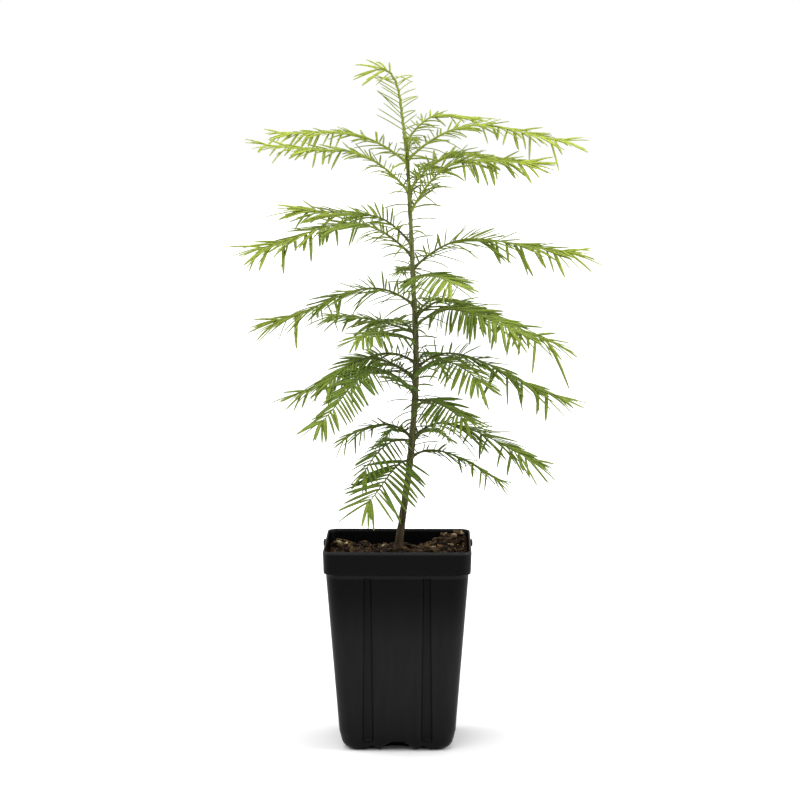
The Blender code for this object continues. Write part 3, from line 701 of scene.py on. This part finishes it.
def soil_top(x, y):
    """Height of the bark mix: a low dome from edge to middle, heaped in two places, and rough.

    Each heap is a bell: its height times e to the power of less the squared distance over twice its
    squared spread. Two sizes of random hills lie over it.
    """
    share = np.maximum(abs(x), abs(y)) / (RIM_FOOT_WIDTH / 2)
    top = mix(*SOIL_HEIGHTS, share)
    for centre_x, centre_y, height, spread in MOUNDS:
        away = (x - centre_x) ** 2 + (y - centre_y) ** 2
        top = top + height * np.exp(-away / (2 * spread ** 2))
    flat = np.stack([x, y, np.zeros_like(x)], axis=-1)
    wide, fine = SOIL_HILLS
    rough = hills(flat, wide, SEED) + 0.6 * hills(flat, fine, SEED + 1)
    return top + SOIL_ROUGHNESS * rough * ease((1 - share) * 6 + 0.3)


def build_soil():
    """The bed of bark mix: a block that fills the pot, with a rough top made of shrinking rings."""
    inset = 2 * (WALL + SOIL_GAP)
    corner = BODY_CORNER - WALL - SOIL_GAP
    foot = FLOOR_TOP + SOIL_GAP
    flute_room = 2 * FLUTE_DEPTH[0]
    rings = []
    for z, further_in in ((foot, FLOOR_INSET), (FOOT_RISE, flute_room), (FLUTE_TOP, flute_room)):
        rings.append(pot_ring(z, body_width(z) - inset - further_in, corner))
    ledge = POT_HEIGHT - RIM_BAND + WALL + SOIL_GAP
    edge = pot_ring(ledge, RIM_FOOT_WIDTH - inset, RIM_CORNER - WALL - SOIL_GAP)
    rings.append(edge)
    for share in np.linspace(1, 0.02, SOIL_RINGS):
        ring = edge * share
        ring[:, 2] = soil_top(ring[:, 0], ring[:, 1])
        rings.append(ring)
    middle = (0, 0, float(soil_top(np.zeros(1), np.zeros(1))[0]))
    add_piece("soil_bed", closed_skin(rings, (0, 0, foot), middle), soil_crumb(), ["soil"])


def turned(points, angles, first, second):
    """Each copy's points turned by its own angle in the plane of two axes."""
    cos, sin = np.cos(angles)[:, None], np.sin(angles)[:, None]
    result = points.copy()
    result[..., first] = points[..., first] * cos - points[..., second] * sin
    result[..., second] = points[..., first] * sin + points[..., second] * cos
    return result


def add_chips(name, colour, x, y, rise, lengths, slim, draw):
    """One piece of rough flat chips on the bed: rounded blocks, squashed and turned at random.

    Every point also moves by a random part of its chip's length.
    """
    count, rows = len(lengths), len(CHIP_PLACES)
    place = np.array(CHIP_PLACES)
    across, up = rounded_block(place, round_angles(CHIP_AROUND, 0.5), 0.6)
    shape = np.stack([np.repeat(place, CHIP_AROUND), across.ravel(), up.ravel()], axis=-1)
    shape = np.concatenate([shape, [[-1, 0, 0], [1, 0, 0]]])
    sizes = np.stack([
        lengths / 2, lengths / 2 * draw.uniform(*slim, count),
        lengths / 2 * draw.uniform(slim[0] * 0.5, slim[1] * 0.6, count)], axis=-1)
    points = shape[None] * sizes[:, None]
    points += draw.normal(size=points.shape) * lengths[:, None, None] * CHIP_JITTER
    heading = draw.uniform(0, math.tau, count)
    slope = draw.normal(size=count) * CHIP_SLOPE
    roll = draw.normal(size=count) * CHIP_ROLL
    points = turned(turned(turned(points, roll, 1, 2), slope, 0, 2), heading, 0, 1)
    centres = np.column_stack([x, y, soil_top(x, y) + rise])
    skins = (points + centres[:, None], rows, CHIP_AROUND)
    add_piece(name, skins, bark_chip(name, colour), ["soil"])


def build_chips():
    """Bark chips, grit and a few large grains over the bed, one piece for each tint."""
    draw = np.random.default_rng(SEED + 7)
    for name, (colour, count, span, slim) in CHIP_TINTS.items():
        lengths = draw.uniform(*span, count)
        reach = RIM_FOOT_WIDTH / 2 - WALL - lengths * 0.55
        x, y = draw.uniform(-1, 1, (2, count)) * reach
        near_stem = np.hypot(x - STEM_LINE[0][1], y) < CHIP_CLEARING
        x = np.where(near_stem, x + 2 * CHIP_CLEARING, x)
        rise = lengths * draw.uniform(0.02, 0.30, count)
        add_chips(name, colour, x, y, rise, lengths, slim, draw)
    for name, (colour, places) in BEADS.items():
        x, y, sizes = np.array(places).T
        add_chips(name, colour, x, y, sizes * 0.55, sizes, BEAD_SLIM, draw)


def stem_centre(heights):
    """Centre line of the stem at many heights."""
    return np.column_stack([glide(STEM_LINE, heights), heights])


def stem_radius(heights):
    """Radius of the stem: a straight taper, a root flare and a slight swelling at each node."""
    foot, tip = STEM_LINE[0][0], STEM_LINE[-1][0]
    radius = mix(*STEM_RADII, (heights - foot) / (tip - foot))
    radius = radius + ROOT_FLARE * np.exp(-(heights - foot) / FLARE_HEIGHT)
    feet = np.array([shoot[4] for shoot in SHOOTS]) / 1000
    nearest = abs(heights[:, None] - feet).min(axis=1)
    return radius + NODE_SWELL * np.exp(-(nearest / NODE_SPREAD) ** 2)


def stem_needle_places():
    """Height and bearing of each thin needle that stands on the stem, a golden turn apart."""
    heights = np.arange(*STEM_NEEDLES)
    return heights, np.arange(len(heights)) * GOLDEN_TURN


def build_stem():
    """The stem: level rings round its centre line, with bark relief and a bump under each needle.

    The relief is random hills that are stretched eight times along the stem, plus finer ones. A bump
    is a bell over height and bearing.
    """
    foot, tip = STEM_LINE[0][0], STEM_LINE[-1][0]
    heights = np.linspace(foot - STEM_SINK, tip, STEM_ROWS)
    angle = round_angles(STEM_AROUND)
    radius = stem_radius(np.maximum(heights, foot))
    rings = np.zeros((STEM_ROWS, STEM_AROUND, 3))
    rings[..., :2] = np.stack([np.cos(angle), np.sin(angle)], axis=-1) * radius[:, None, None]
    rings[..., 2] = heights[:, None]
    wide, fine = BARK_HILLS
    fissures = hills(rings * (1, 1, 0.12), wide, SEED + 2) + 0.5 * hills(rings * (1, 1, 0.3), fine, SEED + 3)
    relief = BARK_RELIEF * fissures * mix(1.0, 0.4, (heights - foot) / (tip - foot))[:, None]
    bumps = np.zeros((STEM_ROWS, STEM_AROUND))
    for height, bearing in zip(*stem_needle_places()):
        apart = (angle - bearing + math.pi) % math.tau - math.pi
        along_stem = np.exp(-((heights - height) / BUMP_HEIGHT) ** 2)
        bumps += along_stem[:, None] * np.exp(-(apart / BUMP_TURN) ** 2)
    rings[..., :2] *= (1 + relief + BUD_BUMP * bumps / radius[:, None])[..., None]
    centre = stem_centre(heights)
    rings[..., :2] += centre[:, None, :2]
    skin = closed_skin(rings, centre[0], centre[-1])
    add_piece("stem_bark_skin", skin, stem_bark(), ["stem"])


def shoot_path(bearing, level, foot, reach, crest_out, crest_up, tip_up, turn):
    """Points along a shoot, from inside the stem to where its last needles carry on alone.

    Out to the crest the height is a falling parabola. Beyond it the height drops by a mix of a
    smooth step and a square, both of the share of the way that is left.
    """
    start = 0.5 * stem_radius(np.array([foot]))[0]
    out = mix(start, reach - TWIG_SHORTER, np.linspace(0, 1, TWIG_ROWS) ** TWIG_CROWDING)
    rising = crest_up * (1 - (1 - out / crest_out) ** 2)
    s = np.clip((out - crest_out) / (reach - crest_out), 0, 1)
    falling = crest_up - (crest_up - tip_up) * s * s * ((3 - 2 * s) * level + 1 - level)
    up = np.where(out < crest_out, rising, falling)
    angle = np.radians(bearing + turn * out / reach)
    arm = np.stack([out * np.cos(angle), out * np.sin(angle), up], axis=-1)
    return stem_centre(np.array([foot])) + arm


def leader_path():
    """Points along the leader, from inside the stem's tip."""
    knots = [(i, *point) for i, point in enumerate(LEADER_LINE)]
    path = glide(knots, np.linspace(0, len(LEADER_LINE) - 1, TWIG_ROWS))
    path[0] = stem_centre(np.array([STEM_LINE[-1][0] - LEADER_SINK]))[0]
    return path


def path_length(path):
    """Length of a path."""
    return np.linalg.norm(np.diff(path, axis=0), axis=1).sum()


def along(path, distances):
    """Points and directions at distances along a path."""
    lengths = np.concatenate([[0], np.cumsum(np.linalg.norm(np.diff(path, axis=0), axis=1))])

    def read(values):
        return np.stack([np.interp(distances, lengths, column) for column in values.T], axis=-1)

    return read(path), unit(read(np.gradient(path, lengths, axis=0)))


def twig_skin(path, habit, foot_radius, tip_radius, draw):
    """A tapering round twig: circles square to the path, with a collar and a ridge for each needle.

    The radius is a straight taper, plus a collar that fades by e over its reach, times a ripple with
    one wave for each pair of needles. The path sways a little from side to side.
    """
    total = path_length(path)
    distance = np.linspace(0, total, TWIG_ROWS * 2)
    points, ahead = along(path, distance)
    side = unit(np.cross(ahead, np.array(habit["plane"], float)))
    up = np.cross(ahead, side)
    waves = distance / habit["spacing"] * math.pi
    sway = TWIG_SWAY * np.sin(waves + draw.uniform(0, 6)) * ease(distance / 0.01)
    points = points + side * sway[:, None]
    radius = mix(foot_radius, tip_radius, distance / total)
    radius = radius + TWIG_COLLAR * np.exp(-distance / COLLAR_REACH)
    radius = radius * (1 + TWIG_RIPPLE * np.sin(waves * 2))
    angle = round_angles(TWIG_AROUND)
    ring = side[:, None] * np.cos(angle)[:, None] + up[:, None] * np.sin(angle)[:, None]
    rings = points[:, None] + ring * radius[:, None, None]
    return closed_skin(rings, points[0], points[-1] + ahead[-1] * radius[-1])[0]


def needle_skins(root, aim, flat, length, width, sag):
    """Flat needles with a grooved upper face, as rings of six points along a bent middle line.

    The middle line is the root plus the length times the aim times t plus the sag times t squared.
    The half width follows t to one power times 1 - t to another, scaled to one at most.
    """
    t = np.array(NEEDLE_RINGS)
    step = t[None, :, None]
    line = root[:, None] + length[:, None, None] * (aim[:, None] * step + sag[:, None] * step ** 2)
    ahead = unit(aim[:, None] + 2 * sag[:, None] * step)
    across = unit(np.cross(flat[:, None] + 0 * ahead, ahead))
    up = np.cross(ahead, across)
    root_power, tip_power, scale = NEEDLE_SWELL
    swell = t ** root_power * (1 - t) ** tip_power * scale
    half = width[:, None] / 2 * swell
    deep = NEEDLE_THICKNESS / 2 * swell ** 0.6 + 0 * half
    section = np.array([(1, 0), (0.5, 1), (0, 0.35), (-0.5, 1), (-1, 0), (0, -1)])
    wide = across[:, :, None] * (half[:, :, None] * section[:, 0])[..., None]
    tall = up[:, :, None] * (deep[:, :, None] * section[:, 1])[..., None]
    rings = line[:, :, None] + wide + tall
    tip = root + length[:, None] * (aim + sag)
    return np.concatenate([rings.reshape(len(root), -1, 3), root[:, None], tip[:, None]], axis=1)


def habit_at(habit, needle_share, height):
    """A habit with the spacing, length and width that suit a shoot's height and needle share."""
    up = climb(height)
    sized = {part: mix(*habit[part], up) for part in ("spacing", "length", "width")}
    sized["length"] *= needle_share
    sized["width"] *= min(1, needle_share)
    return {**habit, **sized, "lowness": max(0, 1 - up / EVEN_SPACING_FROM)}


def table_values(table, share):
    """A table's columns after the first, each read at many shares."""
    first, *rest = np.array(table, float).T
    return np.stack([np.interp(share, first, column) for column in rest])


def rank_values(habit, share, near, fall, tidy, away, draw):
    """Opening, lift, length, bow, width and facing of needles, read from the habit's ranks.

    Each takes a mix of the ranks by how near it is and how tidy its shoot is. Outwards some near ones
    of an untidy shoot hang instead: those whose golden turn is below a chance.
    """
    loose = mix(table_values(habit["far"], share), table_values(habit["near"], share), near)
    loose[1] = loose[1] * (1 - AWAY_FLATTER * away * ease(share / AWAY_FLATTER_FROM))
    loose[2] = loose[2] * (1 - AWAY_SHORTER * away)
    side = near > 0.5
    ranks = np.where(side, table_values(END_ON_NEAR, share), table_values(END_ON_FAR, share))
    values = mix(loose, ranks, tidy)
    begin, full = habit["hang_from"]
    chance = habit["hang_chance"] * ease((share - begin) / (full - begin))
    chance = chance * np.minimum(1, near * HANG_NEARNESS)
    turns = (np.arange(len(share)) // 2 * GOLDEN_SHARE + draw.random()) % 1
    hangs = (turns < chance * (1 - tidy) * (1 - away)) & side
    scatter = draw.normal(size=(6, len(share))) * np.array(HANG_SCATTER)[:, None]
    hung = table_values(habit["hanging"], share) * (1 + scatter)
    hung[0] += HANG_BACK * fall
    return np.where(hangs, hung, values)


def shoot_needles(path, habit, draw):
    """Roots, aims, flats, lengths, widths, bows and shares of one shoot's needles, and its shading.

    The outward direction is square to the twig, turned out of the plane by the lift. The aim leans
    from it towards the tip by the opening, which closes near the tip. A few needles are missing.
    """
    total = path_length(path)
    way = unit(path[-1] - path[0])
    begin, full = END_ON_BOUNDS
    tidy = float(ease((-way[1] - begin) / (full - begin)))
    away = float(ease((way[1] - begin) / (full - begin)))
    loose = (1 - END_ON_TIDIER * tidy) * (1 - habit["evenness"])
    spacing = habit["spacing"] * (1 + END_ON_WIDER_SPACING * tidy * habit["lowness"])
    pairs = max(4, round((total - FIRST_NEEDLE) / spacing))
    places = mix(FIRST_NEEDLE, total, ((np.arange(pairs) + 0.5) / pairs) ** TIP_CROWDING)
    places = np.concatenate([places[places < total - TUFT_REACH], total - np.array(TUFT_PLACES)])
    side = np.tile([-1.0, 1.0], len(places))
    count = len(side)

    def scatter(spread):
        return draw.normal(size=count) * spread

    distance = np.repeat(places, 2) + scatter(PLACE_SCATTER) * loose
    distance = np.clip(distance, FIRST_NEEDLE, total - LAST_NEEDLE)
    share = distance / total
    points, ahead = along(path, distance)
    plane = np.array(habit["plane"], float)
    level = unit(np.cross(ahead, plane)) * side[:, None]
    upper = unit(plane - ahead * (ahead @ plane)[:, None])
    near = np.clip((1 + level @ np.array(habit["towards"], float)) / 2, 0, 1)
    fall = np.clip(-ahead[:, 2], 0, 1)
    opening, lift, length, bow, width, facing = rank_values(habit, share, near, fall, tidy, away, draw)
    closing = np.clip((distance - total + TUFT_REACH) / TUFT_REACH, 0, 1)
    opening = mix(opening, habit["tip_opening"], closing)
    opening = np.radians(opening + scatter(OPENING_SCATTER) * loose)
    lift = np.radians(lift + scatter(LIFT_SCATTER) * loose * (1 + 2 * closing))
    outward = level * np.cos(lift)[:, None] + upper * np.sin(lift)[:, None]
    aim = unit(ahead * np.cos(opening)[:, None] + outward * np.sin(opening)[:, None])
    spray = unit(np.cross(ahead, aim) * side[:, None])
    flat = blade_face(aim, spray, facing, scatter(ROLL_SCATTER) * loose)
    length = habit["length"] * length * (1 + np.clip(scatter(LENGTH_SCATTER) * loose, *LENGTH_BOUNDS))
    width = habit["width"] * width * (1 + scatter(WIDTH_SCATTER))
    bow = bow * (1 + scatter(BOW_SCATTER) * loose)
    sag = np.array([0, 0, -1.0]) * bow[:, None]
    sag = sag + ahead * ((scatter(SWING_SCATTER) + SWING_FORWARD) * loose)[:, None]
    there = draw.random(count) > MISSING_SHARE
    return [part[there] for part in (points, aim, flat, length, width, sag, share)], max(tidy, away)


def blade_face(aim, spray, share, roll):
    """Where a needle's face looks: a mix of straight up and the spray's own, then rolled."""
    upward = np.array([0, 0, 1.0]) - aim * aim[:, 2:]
    face = unit(mix(upward, spray, share[:, None]) + 1e-6)
    return face * np.cos(roll)[:, None] + np.cross(aim, face) * np.sin(roll)[:, None]


def stem_needles(draw):
    """The thin needles on the stem itself: they leave it a little upwards and then bow down."""
    heights, bearing = stem_needle_places()
    count = len(bearing)
    bearing = bearing + draw.normal(size=count) * STEM_NEEDLE_TURN
    outward = np.stack([np.cos(bearing), np.sin(bearing), np.zeros(count)], axis=-1)
    root = stem_centre(heights) + outward * stem_radius(heights)[:, None] * 0.9
    rise = draw.normal(size=count) * STEM_NEEDLE_RISE_SCATTER + STEM_NEEDLE_RISE
    aim = unit(outward + np.array([0, 0, 1.0]) * rise[:, None])
    flat = blade_face(aim, aim, np.zeros(count), draw.normal(size=count) * STEM_NEEDLE_ROLL)
    length = STEM_NEEDLE_LENGTH * (1 + draw.normal(size=count) * STEM_NEEDLE_LENGTH_SCATTER)
    bow = STEM_NEEDLE_BOW + draw.uniform(0, STEM_NEEDLE_BOW_MORE, count)
    sag = np.array([0, 0, -1.0]) * bow[:, None]
    return root, aim, flat, length, np.full(count, STEM_NEEDLE_WIDTH), sag


def climb(height):
    """Share of the way up the crown, from its lowest shoot to its top."""
    low, top = CROWN_HEIGHTS
    return np.clip((height - low) / (top - low), 0, 1)


def youth(height, share, draw):
    """How young growth is: younger up the plant and out along each shoot, with a scatter."""
    up, up_power = YOUNGER_UP
    out, out_power = YOUNGER_OUT
    young = up * climb(height) ** up_power + out * share ** out_power
    return young + draw.normal(size=share.shape) * AGE_SCATTER


def leaf_tint(young):
    """Green at an age: deep to fresh over the first half, fresh to young over the second."""
    deep, fresh, bright = np.array([DEEP_GREEN, FRESH_GREEN, YOUNG_GREEN])
    return mix(mix(deep, fresh, min(1, young * 2)), bright, max(0, young * 2 - 1))


def build_crown():
    """All the twigs and needles: twigs are joined by zone, and needles by their tint."""
    bends = random.Random(SEED)
    draw = np.random.default_rng(SEED + 11)
    leader_radii = (STEM_RADII[1], LEADER_TIP_RADIUS)
    foot = LEADER_LINE[0][2]
    plans = [("leader", foot, leader_path(), habit_at(LEADER_HABIT, 1, foot), leader_radii)]
    for name, bearing, level, needle_share, *lengths in SHOOTS:
        foot, *rest = (length / 1000 for length in lengths)
        path = shoot_path(bearing, level, foot, *rest, bends.uniform(-1, 1) * SHOOT_BEND)
        plans.append(("shoot_" + name, foot, path, habit_at(SHOOT_HABIT, needle_share, foot), TWIG_RADII))
    twigs = {slot: ([], []) for slot in TWIG_TINTS}
    needles, ages, names = [], [], []
    for name, height, path, habit, radii in plans:
        skins, owners = twigs[NEEDLE_SLOTS[sum(height > bound for bound in ZONES_FROM)]]
        skins.append(twig_skin(path, habit, *radii, draw))
        owners.append(name)
        (*shape, share), shaded = shoot_needles(path, habit, draw)
        needles.append(needle_skins(*shape))
        # Shoots that point to the front or back take a darker green: painted shade
        ages.append(youth(np.full(share.shape, height), share, draw) - PAINTED_SHADE_DARKER * shaded)
        names += [name] * len(share)
    shape = stem_needles(draw)
    needles.append(needle_skins(*shape))
    ages.append(youth(shape[0][:, 2], np.full(len(shape[0]), STEM_NEEDLE_OUT), draw))
    names += ["stem"] * len(shape[0])
    for slot, (skins, owners) in twigs.items():
        skin = (np.concatenate(skins), TWIG_ROWS * 2, TWIG_AROUND)
        add_piece(slot.replace("needles", "twigs"), skin, twig_green(slot), owners)
    join_needles(np.concatenate(needles), np.concatenate(ages), np.array(names))


def join_needles(skins, ages, names):
    """One piece of needles for each tint, standing for the solids whose needles it holds."""
    tint = np.clip((ages * NEEDLE_TINTS).astype(int), 0, NEEDLE_TINTS - 1)
    for k in range(NEEDLE_TINTS):
        chosen = tint == k
        young = (k + 0.5) / NEEDLE_TINTS
        skin = (skins[chosen], len(NEEDLE_RINGS), 6)
        nodes = sorted(set(names[chosen].tolist()))
        add_piece(f"needles_tint_{k + 1}", skin, needle_green(k, young), nodes)


def feed(tree, node, fed):
    """Feed a node's inputs, by name or number, each from another node's output or with a value."""
    for key, value in fed.items():
        if isinstance(value, bpy.types.NodeSocket):
            tree.links.new(value, node.inputs[key])
        else:
            node.inputs[key].default_value = value


def wired(tree, kind, fed, **settings):
    """The outputs of a new node, with its settings made and its inputs fed."""
    node = tree.nodes.new("ShaderNode" + kind)
    for name, value in settings.items():
        setattr(node, name, value)
    feed(tree, node, fed)
    return node.outputs


def ranged(tree, value, side, low, high):
    """A value carried from the range low to high onto 0 to 1 where side is From, or back where To."""
    return wired(tree, "MapRange", {"Value": value, side + " Min": low, side + " Max": high})["Result"]


def shared_effect(name, takes, gives, build):
    """A node group, made once: its named inputs and outputs, and what build wires between them."""
    if name in bpy.data.node_groups:
        return bpy.data.node_groups[name]
    group = bpy.data.node_groups.new(name, "ShaderNodeTree")
    for way, sockets in (("INPUT", takes), ("OUTPUT", gives)):
        for socket, kind in sockets.items():
            group.interface.new_socket(socket, in_out=way, socket_type="NodeSocket" + kind)
    given = group.nodes.new("NodeGroupInput").outputs
    feed(group, group.nodes.new("NodeGroupOutput"), build(group, given))
    return group


def build_mottle(group, given):
    """Two colours mixed by noise, with the noise itself as a mask."""
    noise = wired(group, "TexNoise", {"Vector": given["Place"], "Scale": given["Scale"], "Detail": 4})
    spread = ranged(group, noise["Fac"], "From", 0.36, 0.64)
    fed = {"Factor": spread, "A": given["Low"], "B": given["High"]}
    return {"Colour": wired(group, "Mix", fed, data_type="RGBA")["Result"], "Mask": spread}


def build_relief(group, given):
    """A normal bumped by noise of one scale."""
    noise = wired(group, "TexNoise", {"Vector": given["Place"], "Scale": given["Scale"], "Detail": 6})
    fed = {"Strength": 0.6, "Distance": given["Depth"], "Height": noise["Fac"]}
    return {"Normal": wired(group, "Bump", fed)["Normal"]}


def mottled(tree, place, scale, low, high):
    """The shared mottle put into a material: its outputs Colour and Mask."""
    takes = {"Place": "Vector", "Scale": "Float", "Low": "Color", "High": "Color"}
    group = shared_effect("mottle", takes, {"Colour": "Color", "Mask": "Float"}, build_mottle)
    fed = {"Place": place, "Scale": scale, "Low": (*low, 1), "High": (*high, 1)}
    return wired(tree, "Group", fed, node_tree=group)


def relief(tree, place, scale, depth):
    """The shared relief put into a material: its normal."""
    takes = {"Place": "Vector", "Scale": "Float", "Depth": "Float"}
    group = shared_effect("relief", takes, {"Normal": "Vector"}, build_relief)
    return wired(tree, "Group", {"Place": place, "Scale": scale, "Depth": depth}, node_tree=group)["Normal"]


def new_material(name, colour, roughness, shine=0.15):
    """A material with its constant values, its node tree, its shader and its Object coordinates."""
    material = bpy.data.materials.new(name)
    material.use_nodes = True
    tree = material.node_tree
    shader = tree.nodes["Principled BSDF"]
    feed(tree, shader, {"Base Color": (*colour, 1), "Roughness": roughness, "Specular IOR Level": shine})
    return material, tree, shader, wired(tree, "TexCoord", {})["Object"]


def stretched(tree, place, scale):
    """The place with each axis scaled, for a pattern that runs along the piece."""
    return wired(tree, "Mapping", {"Vector": place, "Scale": scale})["Vector"]


def height_ramp(tree, place, stops):
    """A colour that changes with height, given at a few heights from low to high."""
    bottom, top = stops[0][0], stops[-1][0]
    level = wired(tree, "SeparateXYZ", {"Vector": place})["Z"]
    share = ranged(tree, level, "From", bottom, top)
    node = tree.nodes.new("ShaderNodeValToRGB")
    feed(tree, node, {"Fac": share})
    for height, _ in stops[1:-1]:
        node.color_ramp.elements.new((height - bottom) / (top - bottom))
    for element, (_, colour) in zip(node.color_ramp.elements, stops):
        element.color = (*colour, 1)
    return node.outputs["Color"]


def multiplied(tree, first, second):
    """The product of two colours."""
    fed = {"Factor": 1, "A": first, "B": second}
    return wired(tree, "Mix", fed, data_type="RGBA", blend_type="MULTIPLY")["Result"]


def shade(colour, share):
    """A colour times a share, with no part above one."""
    return tuple(min(1, share * part) for part in colour)


def pot_plastic():
    """Satin black moulded plastic: a fine pebble, and a grey of dust and painted reflection on the walls.

    It lightens from under the rim downwards and darkens again near the foot, as painted shade and reflection,
    with painted highlight lines under the rim band and along the lip.
    """
    if "pot_plastic" in bpy.data.materials:
        return bpy.data.materials["pot_plastic"]
    material, tree, shader, place = new_material("pot_plastic", BLACK, 0.38, 0.06)
    # Dust and painted reflection by height, with painted highlights at the rim's foot and along the lip
    dust_and_sheen = height_ramp(tree, place, [(share * POT_HEIGHT, (level,) * 3) for share, level in DUST_AND_SHEEN_STOPS])
    streaks = mottled(tree, stretched(tree, place, (1, 1, 0.06)), 220, (0.90, 0.90, 0.90), (1.08, 1.08, 1.10))
    rough = ranged(tree, streaks["Mask"], "To", 0.34, 0.42)
    feed(tree, shader, {
        "Base Color": multiplied(tree, dust_and_sheen, streaks["Colour"]), "Roughness": rough,
        "Normal": relief(tree, place, 1800, 0.00005)})
    return material


def soil_crumb():
    """Dark crumb between the chips, its tones deepened as painted shade in the gaps."""
    material, tree, shader, place = new_material("soil_crumb", (0.02, 0.012, 0.008), 0.9, 0.1)
    # The crumb's low and high tones are kept dark as painted shade between the chips
    crumb = mottled(tree, place, 420, (0.006, 0.004, 0.003), (0.040, 0.020, 0.010))
    feed(tree, shader, {"Base Color": crumb["Colour"], "Normal": relief(tree, place, 900, 0.0006)})
    return material


def bark_chip(name, colour):
    """Fibrous bark: its tint broken up by darker grain."""
    material, tree, shader, place = new_material(name, colour, 0.82)
    grain = mottled(tree, place, 700, shade(colour, 0.45), shade(colour, 1.35))
    feed(tree, shader, {"Base Color": grain["Colour"], "Normal": relief(tree, place, 1500, 0.0003)})
    return material


def stem_bark():
    """Brown bark below that turns olive green above, streaked along the stem."""
    material, tree, shader, place = new_material("stem_bark", (0.06, 0.045, 0.02), 0.7)
    tall = stretched(tree, place, (1, 1, 0.10))
    streaks = mottled(tree, tall, 900, (0.55, 0.52, 0.50), (1.45, 1.48, 1.50))
    colour = multiplied(tree, height_ramp(tree, place, STEM_STOPS), streaks["Colour"])
    feed(tree, shader, {"Base Color": colour, "Normal": relief(tree, tall, 1600, 0.0003)})
    return material


def twig_green(slot):
    """The skin of this zone's twigs: brownish by the stem, and the needles' green further out."""
    foot, tip = TWIG_TINTS[slot]
    material, tree, shader, place = new_material(slot.replace("needles", "twig"), foot, 0.55)
    out = wired(tree, "VectorMath", {0: stretched(tree, place, (1, 1, 0))}, operation="LENGTH")["Value"]
    fed = {"Factor": ranged(tree, out, "From", *TWIG_GREENING), "A": (*foot, 1), "B": (*tip, 1)}
    feed(tree, shader, {"Base Color": wired(tree, "Mix", fed, data_type="RGBA")["Result"]})
    return material


def needle_green(k, young):
    """One tint of soft needles: its green with a slight mottle and a waxy surface."""
    colour = tuple(float(part) for part in leaf_tint(young))
    material, tree, shader, place = new_material(f"needle_green_{k + 1}", colour, 0.48)
    tone = mottled(tree, place, 350, shade(colour, 0.86), shade(colour, 1.14))
    feed(tree, shader, {"Base Color": tone["Colour"]})
    return material


def add_softbox(name, place, size, watts):
    """A large soft light that faces the plant's middle."""
    light = bpy.data.lights.new(name, "AREA")
    light.shape = "RECTANGLE"
    light.size, light.size_y = size
    light.energy = watts
    lamp = add_object(name, light)
    lamp.location = place
    way = np.array(place) - np.array(PLANT_MIDDLE)
    turn = math.atan2(way[1], way[0]) + math.pi / 2
    lamp.rotation_euler = (math.acos(way[2] / np.linalg.norm(way)), 0, turn)


def build_floor():
    """A wide pale floor whose far part stays as white to the eye as the part in the lights."""
    mesh = bpy.data.meshes.new("floor")
    corners = [(x * FLOOR_REACH, y * FLOOR_REACH, 0) for x, y in ((-1, -1), (1, -1), (1, 1), (-1, 1))]
    mesh.from_pydata(corners, [], [(0, 1, 2, 3)])
    material, tree, shader, place = new_material("floor_paper", (0.93, 0.93, 0.93), 0.9, 0.0)
    away = wired(tree, "VectorMath", {0: place}, operation="LENGTH")["Value"]
    fade = ranged(tree, away, "From", *FLOOR_GLOW)
    eye = wired(tree, "LightPath", {})["Is Camera Ray"]
    glow = wired(tree, "Math", {0: fade, 1: eye}, operation="MULTIPLY")["Value"]
    feed(tree, shader, {"Emission Color": (1, 1, 1, 1), "Emission Strength": glow})
    mesh.materials.append(material)
    floor = add_object("floor", mesh)


def build_surround():
    """The world: white to the eye, and a dimmer soft light on everything."""
    world = bpy.data.worlds.new("surround")
    bpy.context.scene.world = world
    world.use_nodes = True
    tree = world.node_tree
    eye = wired(tree, "LightPath", {})["Is Camera Ray"]
    strength = ranged(tree, eye, "To", SURROUND_LIGHT, 1.0)
    feed(tree, tree.nodes["Background"], {"Strength": strength, "Color": (1, 1, 1, 1)})


def build_stage():
    """The floor, the surround, soft boxes above, in front and at both sides, and the camera."""
    build_floor()
    build_surround()
    for softbox in SOFTBOXES:
        add_softbox(*softbox)
    camera = add_object("camera", bpy.data.cameras.new("camera"))
    camera.data.lens = CAMERA_LENS
    camera.data.sensor_width = CAMERA_SENSOR
    camera.location = CAMERA_PLACE
    camera.rotation_euler = (math.radians(90 - CAMERA_DIP), 0, math.radians(CAMERA_TURN))
    bpy.context.scene.camera = camera
    bpy.context.scene.view_settings.view_transform = "Standard"


def main():
    build_pot()
    build_lugs()
    build_soil()
    build_chips()
    build_stem()
    build_crown()
    build_stage()


main()
